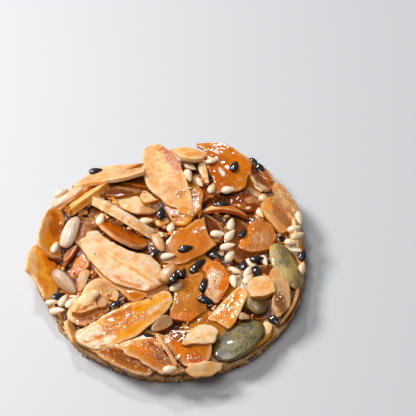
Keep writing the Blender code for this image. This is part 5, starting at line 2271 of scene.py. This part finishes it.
@dataclass
class Threads:
    """Fine strings of caramel drawn across the gaps between the pieces."""

    tries: int = 700
    reach: float = 25.0
    length: tuple[float, float] = (1.6, 4.2)
    radius: tuple[float, float] = (0.09, 0.2)
    bend: float = 0.4
    gap: float = 0.7
    steepest: float = 1.6
    sunk: float = 0.15
    sunk_radii: float = 1.6
    sag: float = 0.16
    stations: int = 9
    sides: int = 6
    seed: int = 4
    tones: tuple[Tone, ...] = (GOLD, ORANGE, AMBER, TAN)

    def string(self, start: Array, end: Array, radius: float,
               bend: float) -> tuple[Array, list]:
        """Makes one string.

        Args:
            start: Where it starts.
            end: Where it ends.
            radius: Its radius in the middle; its ends are thicker.
            bend: How far its middle swings aside.

        Returns:
            Its points and triangles.
        """
        along = end - start
        length = np.linalg.norm(along)
        aside = np.array((-along[1], along[0], 0.0)) / max(np.hypot(along[0], along[1]), 1e-6)
        over = np.cross(along / length, aside)
        stations = [tuple(start)]
        for k in range(self.stations):
            share = (k + 0.2) / (self.stations - 0.6)
            swing = 4 * share * (1 - share)
            hang = np.array((0, 0, self.sag * length * swing))
            middle = start + along * share + aside * bend * swing - hang
            wide = radius * (1 + 0.6 * (2 * share - 1) ** 4)
            ring = []
            for side in range(self.sides):
                angle = TURN * side / self.sides
                ring.append(tuple(middle + wide * (math.cos(angle) * aside + math.sin(angle) * over)))
            stations.append(ring)
        stations.append(tuple(end))
        return lathe(stations, self.sides)

    def build(self, relief: Relief, material: Material) -> Object:
        """Draws strings wherever a gap lies between two higher places.

        Args:
            relief: The height of everything laid.
            material: Their finish.

        Returns:
            The object.
        """
        draw = random.Random(self.seed)
        body = Body()
        for _ in range(self.tries):
            around = draw.uniform(0, TURN)
            x, y, _ = polar(self.reach * math.sqrt(draw.random()), around)
            way = draw.uniform(0, TURN)
            length = draw.uniform(*self.length)
            radius = draw.uniform(*self.radius)
            ends = []
            for sign in (-0.5, 0.5):
                at = (x + sign * length * math.cos(way), y + sign * length * math.sin(way))
                height = Core.read(relief.height, relief, *at) - self.sunk - self.sunk_radii * radius
                ends.append(np.array((*at, height)))
            middle = Core.read(relief.height, relief, x, y)
            bend = draw.uniform(-self.bend, self.bend)
            tone = draw.choice(self.tones)
            shallow = min(ends[0][2], ends[1][2]) - middle < self.gap
            steep = abs(ends[0][2] - ends[1][2]) > self.steepest
            if shallow or steep or math.hypot(*ends[0][:2]) > self.reach:
                continue
            points, faces = self.string(*ends, radius, bend)
            tint = np.tile(tone.colour, (len(points), 1))
            body.add(points, faces, tint=tint, wet=np.full(len(points), 0.9))
        return body.make("caramel_threads", material)


@dataclass
class Crevices:
    """The surfaces that crumbs fall on: the low places between the pieces, and the wall."""

    near: int = 4
    reach: float = 26.2
    kernel_margins: tuple[float, float] = (0.6, 0.8)
    wall_steps: int = 160
    wall_rows: int = 6
    wall_foot: float = 0.3
    wall_less: float = 0.4

    def top(self, pile: Pile) -> bpy.types.Mesh:
        """Makes the top surface, marked where it lies lower than its surroundings.

        Args:
            pile: Where everything lies; its kernels stay clean.

        Returns:
            The surface.
        """
        relief = pile.before_seeds
        steps = Core.around_cell(self.near)
        around = np.mean([np.roll(relief.height, step, (0, 1)) for step in steps], axis=0)
        side = relief.height.shape[0]
        gx, gy = np.meshgrid(np.arange(side), np.arange(side), indexing="ij")
        place = (np.column_stack((gx.ravel(), gy.ravel())) - relief.half_grid) * relief.cell
        points = np.column_stack((place, relief.height.ravel()))
        low = smooth_step((around - relief.height).ravel(), 0.25, 1.0)
        crumby = low * (np.hypot(place[:, 0], place[:, 1]) < self.reach)
        beyond, beside = self.kernel_margins
        for item, seat in pile.shown:
            if isinstance(item, Kernel):
                clean = (0.5 * item.length + beyond, 0.5 * item.width + beside)
                local = (place - seat.place[:2]) @ seat.matrix[:2, :2] / clean
                crumby *= np.hypot(local[:, 0], local[:, 1]) > 1
        first = (gx[:-1, :-1] * side + gy[:-1, :-1]).ravel()
        faces = np.column_stack((first, first + side, first + side + 1, first + 1)).tolist()
        return marked_mesh("crevices", points, faces, crumby)

    def wall(self) -> bpy.types.Mesh:
        """Makes the wall's surface.

        Returns:
            The surface.
        """
        points = []
        faces = []
        for row in range(self.wall_rows):
            height = self.wall_foot + (DISC.rim_height - self.wall_less) * row / (self.wall_rows - 1)
            for k in range(self.wall_steps):
                angle = TURN * k / self.wall_steps
                points.append(polar(DISC.wall(angle, height), angle, height))
                if row:
                    after = (k + 1) % self.wall_steps
                    below = (row - 1) * self.wall_steps
                    above = below + self.wall_steps
                    faces.append((below + k, below + after, above + after, above + k))
        return marked_mesh("wall surface", np.array(points), faces, np.ones(len(points)))


@dataclass
class Kernels:
    """Pumpkin seeds and sunflower kernels."""

    rings: int = 34
    sides: int = 32
    ridge: float = 0.22
    ridge_place: float = 0.78
    ridge_width: float = 0.12
    narrower: float = 0.12
    ribs: int = 7
    rib_depth: float = 0.045
    square: float = 2.8
    flat: float = 0.8
    sunflower: Profile = Profile(0.36, 0.5)

    def half(self, item: Kernel, along: float) -> float:
        """Finds the share of the full half width at a share of the length.

        Args:
            item: The seed.
            along: The share of its length, from the blunt end.

        Returns:
            The share of the half width.
        """
        if item.pumpkin:
            return (4 * along * (1 - along)) ** 0.5 * (1 - self.narrower * (along - 0.5))
        return self.sunflower.half(along)

    def build(self, name: str, pile: Pile, pumpkin: bool, material: Material) -> Object:
        """Builds all seeds of one kind.

        Args:
            name: The object's name.
            pile: Where everything lies.
            pumpkin: True for pumpkin seeds.
            material: Their finish.

        Returns:
            The object.
        """
        body = Body()
        for k, (item, seat) in enumerate(pile.shown):
            if isinstance(item, Kernel) and item.pumpkin == pumpkin:
                local, faces, edge = self.shape(item, k)
                tint = np.tile(item.wash, (len(local), 1))
                body.add(seat.lay(local), faces, edge=edge, tint=tint, grain=local + (9.0 * k, 4.0 * k, 0.0))
        return body.make(name, material)

    def section(self, item: Kernel, along: float, angle: float) -> tuple[float, float]:
        """Finds a point of a seed's cross-section.

        Args:
            item: The seed.
            along: The share of its length, from the blunt end.
            angle: The angle round its length, in radians.

        Returns:
            How far across and how high the point lies.
        """
        half = 0.5 * self.half(item, along)
        y, z = math.cos(angle), math.sin(angle)
        if item.pumpkin:
            z *= 1 - self.ridge * math.exp(-((abs(y) - self.ridge_place) / self.ridge_width) ** 2)
        else:
            boxy = 1 / (abs(y) ** self.square + abs(z) ** self.square) ** (1 / self.square)
            swell = 1 + self.rib_depth * math.cos(self.ribs * angle)
            y, z = y * boxy * swell, z * boxy * swell * self.flat
        return item.width * half * y, item.thick * half * z

    def shape(self, item: Kernel, seed: int) -> tuple[Array, list, Array]:
        """Makes one seed in its own frame.

        Args:
            item: The seed.
            seed: Makes it differ from the others.

        Returns:
            Its points, its faces and how near each point is to the edge.
        """
        section = partial(self.section, item)
        points, faces = spindle(item.length, self.rings, self.sides, section)
        wobble = grain_noise(points, 0.25, seed)
        points[:, 1] += 0.25 * wobble
        points[:, 2] += 0.15 * grain_noise(points, 0.3, seed + 2)
        angles = np.arange(self.sides) * 2 * math.pi / self.sides
        edge = np.tile(smooth_step(np.abs(np.cos(angles)), 0.86, 1.0), self.rings)
        return points, faces, np.concatenate(((1,), edge, (1,)))


@dataclass(frozen=True)
class Lamp:
    """A round lamp that shines on the biscuit: its place and width in metres, its strength in watts."""

    name: str
    place: tuple[float, float, float]
    size: float
    power: float
    only_glints: bool = False

    def build(self) -> None:
        """Puts the lamp in the scene."""
        light = bpy.data.lights.new(self.name, "AREA")
        light.shape = "DISK"
        light.size = self.size
        light.energy = self.power
        stand = placed(bpy.data.objects.new(self.name, light))
        stand.location = self.place
        stand.rotation_euler = Vector(self.place).to_track_quat("Z", "Y").to_euler()
        stand.visible_diffuse = not self.only_glints


@dataclass
class Studio:
    """The floor, the soft light and the camera."""

    floor_size: float = 1.6
    floor_colour: Paint = (0.455, 0.465, 0.48, 1.0)
    floor_rough: float = 0.55
    lamps: tuple[Lamp, ...] = (
        Lamp("key", (-0.54, 0.30, 0.56), 0.28, 8.6),
        Lamp("glint", (-0.14, 0.36, 0.44), 0.06, 4.2, only_glints=True),
        Lamp("fill", (-0.12, -0.12, 0.65), 0.35, 2.0),
    )
    sky_colour: Paint = (0.95, 0.97, 1.0, 1.0)
    sky_strength: float = 0.14

    def build(self) -> None:
        """Puts floor, light and camera in the scene."""
        scene = bpy.context.scene
        half = 0.5 * self.floor_size
        corners = [(-half, -half, 0), (half, -half, 0), (half, half, 0), (-half, half, 0)]
        mesh = bpy.data.meshes.new("floor")
        mesh.from_pydata(corners, [], [(0, 1, 2, 3)])
        floor = placed(bpy.data.objects.new("floor", mesh))
        mesh.materials.append(self.floor_finish())
        for lamp in self.lamps:
            lamp.build()
        scene.world = bpy.data.worlds.new("sky")
        scene.world.use_nodes = True
        sky = scene.world.node_tree.nodes["Background"]
        sky.inputs["Color"].default_value = self.sky_colour
        sky.inputs["Strength"].default_value = self.sky_strength
        scene.view_settings.view_transform = "Standard"
        SIGHT.add_camera()

    def floor_finish(self) -> Material:
        """Builds the floor's pale, dull finish.

        Returns:
            The material.
        """
        material = bpy.data.materials.new("pale floor")
        material.use_nodes = True
        shader = material.node_tree.nodes["Principled BSDF"]
        shader.inputs["Base Color"].default_value = self.floor_colour
        shader.inputs["Roughness"].default_value = self.floor_rough
        return material


def dress_almonds(pile: Pile, underside: Underside) -> None:
    """Builds the almond slices, the caramel that holds them, and the crumbs and bubbles on both.

    Args:
        pile: Where everything lies.
        underside: What shows from below.
    """
    almond = Almond().build()
    caramel = Caramel().build()
    dress(Core().build(pile.before_seeds, caramel))
    dress(Threads().build(pile.before_seeds, caramel))
    slices = AlmondSlices()
    shown = slices.shown(pile, almond)
    dress(shown)
    dress(slices.lower(pile, almond))
    dress(underside.build(almond))
    chip = Chip().build()
    crevices = Crevices()
    top = Crumbs("top_crumbs", chip, density=0.9, largest=2.0)
    dress(top.build(crevices.top(pile)))
    # The bubbles are coloured mostly pale ivory: partly the pale of real froth, partly painted glint.
    tones = ((0.0, ORANGE), (0.35, GOLD), (0.6, PALE), (0.8, IVORY))
    bubble = Chip("glaze bubble", rough=0.08, sheen_level=0.6, tones=tones).build()
    froth = Crumbs("glaze_bubbles", bubble, "froth", True, 1.1, 0.15, 0.6, 0.45, 0.0, 0.1, 6)
    dress(froth.build(shown.data.copy()))
    wall = Crumbs("wall_crumbs", chip, density=1.8, largest=1.4, flatness=0.3, tilt=0.35, seed=8)
    dress(wall.build(crevices.wall()))


def dress_seeds(pile: Pile, pressed: list[Seat]) -> None:
    """Builds the sesame seeds, the pumpkin seeds and the sunflower kernels.

    Args:
        pile: Where everything lies.
        pressed: Where seeds are pressed into the underside.
    """
    pale_coat = SeedCoat("pale sesame coat", 0.15, 0.2, 0.3, 0.8).build()
    black_coat = SeedCoat(
        "black sesame coat", 1.0, 0.06, 0.0, 0.5, light=(0.004, 0.004, 0.006, 1.0),
        dark=(0.012, 0.010, 0.009, 1.0), tip=(0.008, 0.007, 0.006, 1.0), rough=0.6, sheen_level=0.1,
        pits=1.2, relief_mm=0.25,
    ).build()
    pale = SesameScatter("pale_sesame", pale_coat)
    dress(pale.build(pile.pale + pressed[::2] + pressed[1::6]))
    black = SesameScatter("black_sesame", black_coat, seed=5)
    dress(black.build(pile.black + pressed[3::6] + pressed[5::6]))
    green = KernelSkin(
        "pumpkin seed skin", 0.6, 0.07, 0.1, 0.8, rough=0.46, streak_share=0.45, relief_mm=0.22,
    )
    grey = KernelSkin(
        "sunflower kernel skin", 0.08, 0.2, 0.2, 0.8, rough=0.42, light=(0.74, 0.60, 0.48, 1.0),
        middle=(0.62, 0.48, 0.36, 1.0), dark=(0.42, 0.30, 0.20, 1.0), film=(0.62, 0.30, 0.10, 1.0),
        streak=(0.25, 3.0, 3.0),
    )
    kernels = Kernels()
    dress(kernels.build("pumpkin_seeds", pile, True, green.build()))
    dress(kernels.build("sunflower_kernels", pile, False, grey.build()))


def main() -> None:
    """Builds every piece and reports it."""
    logging.basicConfig(level=logging.INFO, format="%(name)s: %(message)s", stream=sys.stdout)
    pile = Pile()
    pile.lay()
    underside = Underside()
    dress_almonds(pile, underside)
    dress_seeds(pile, underside.sesame())
    Studio().build()


if __name__ == "__main__":
    main()
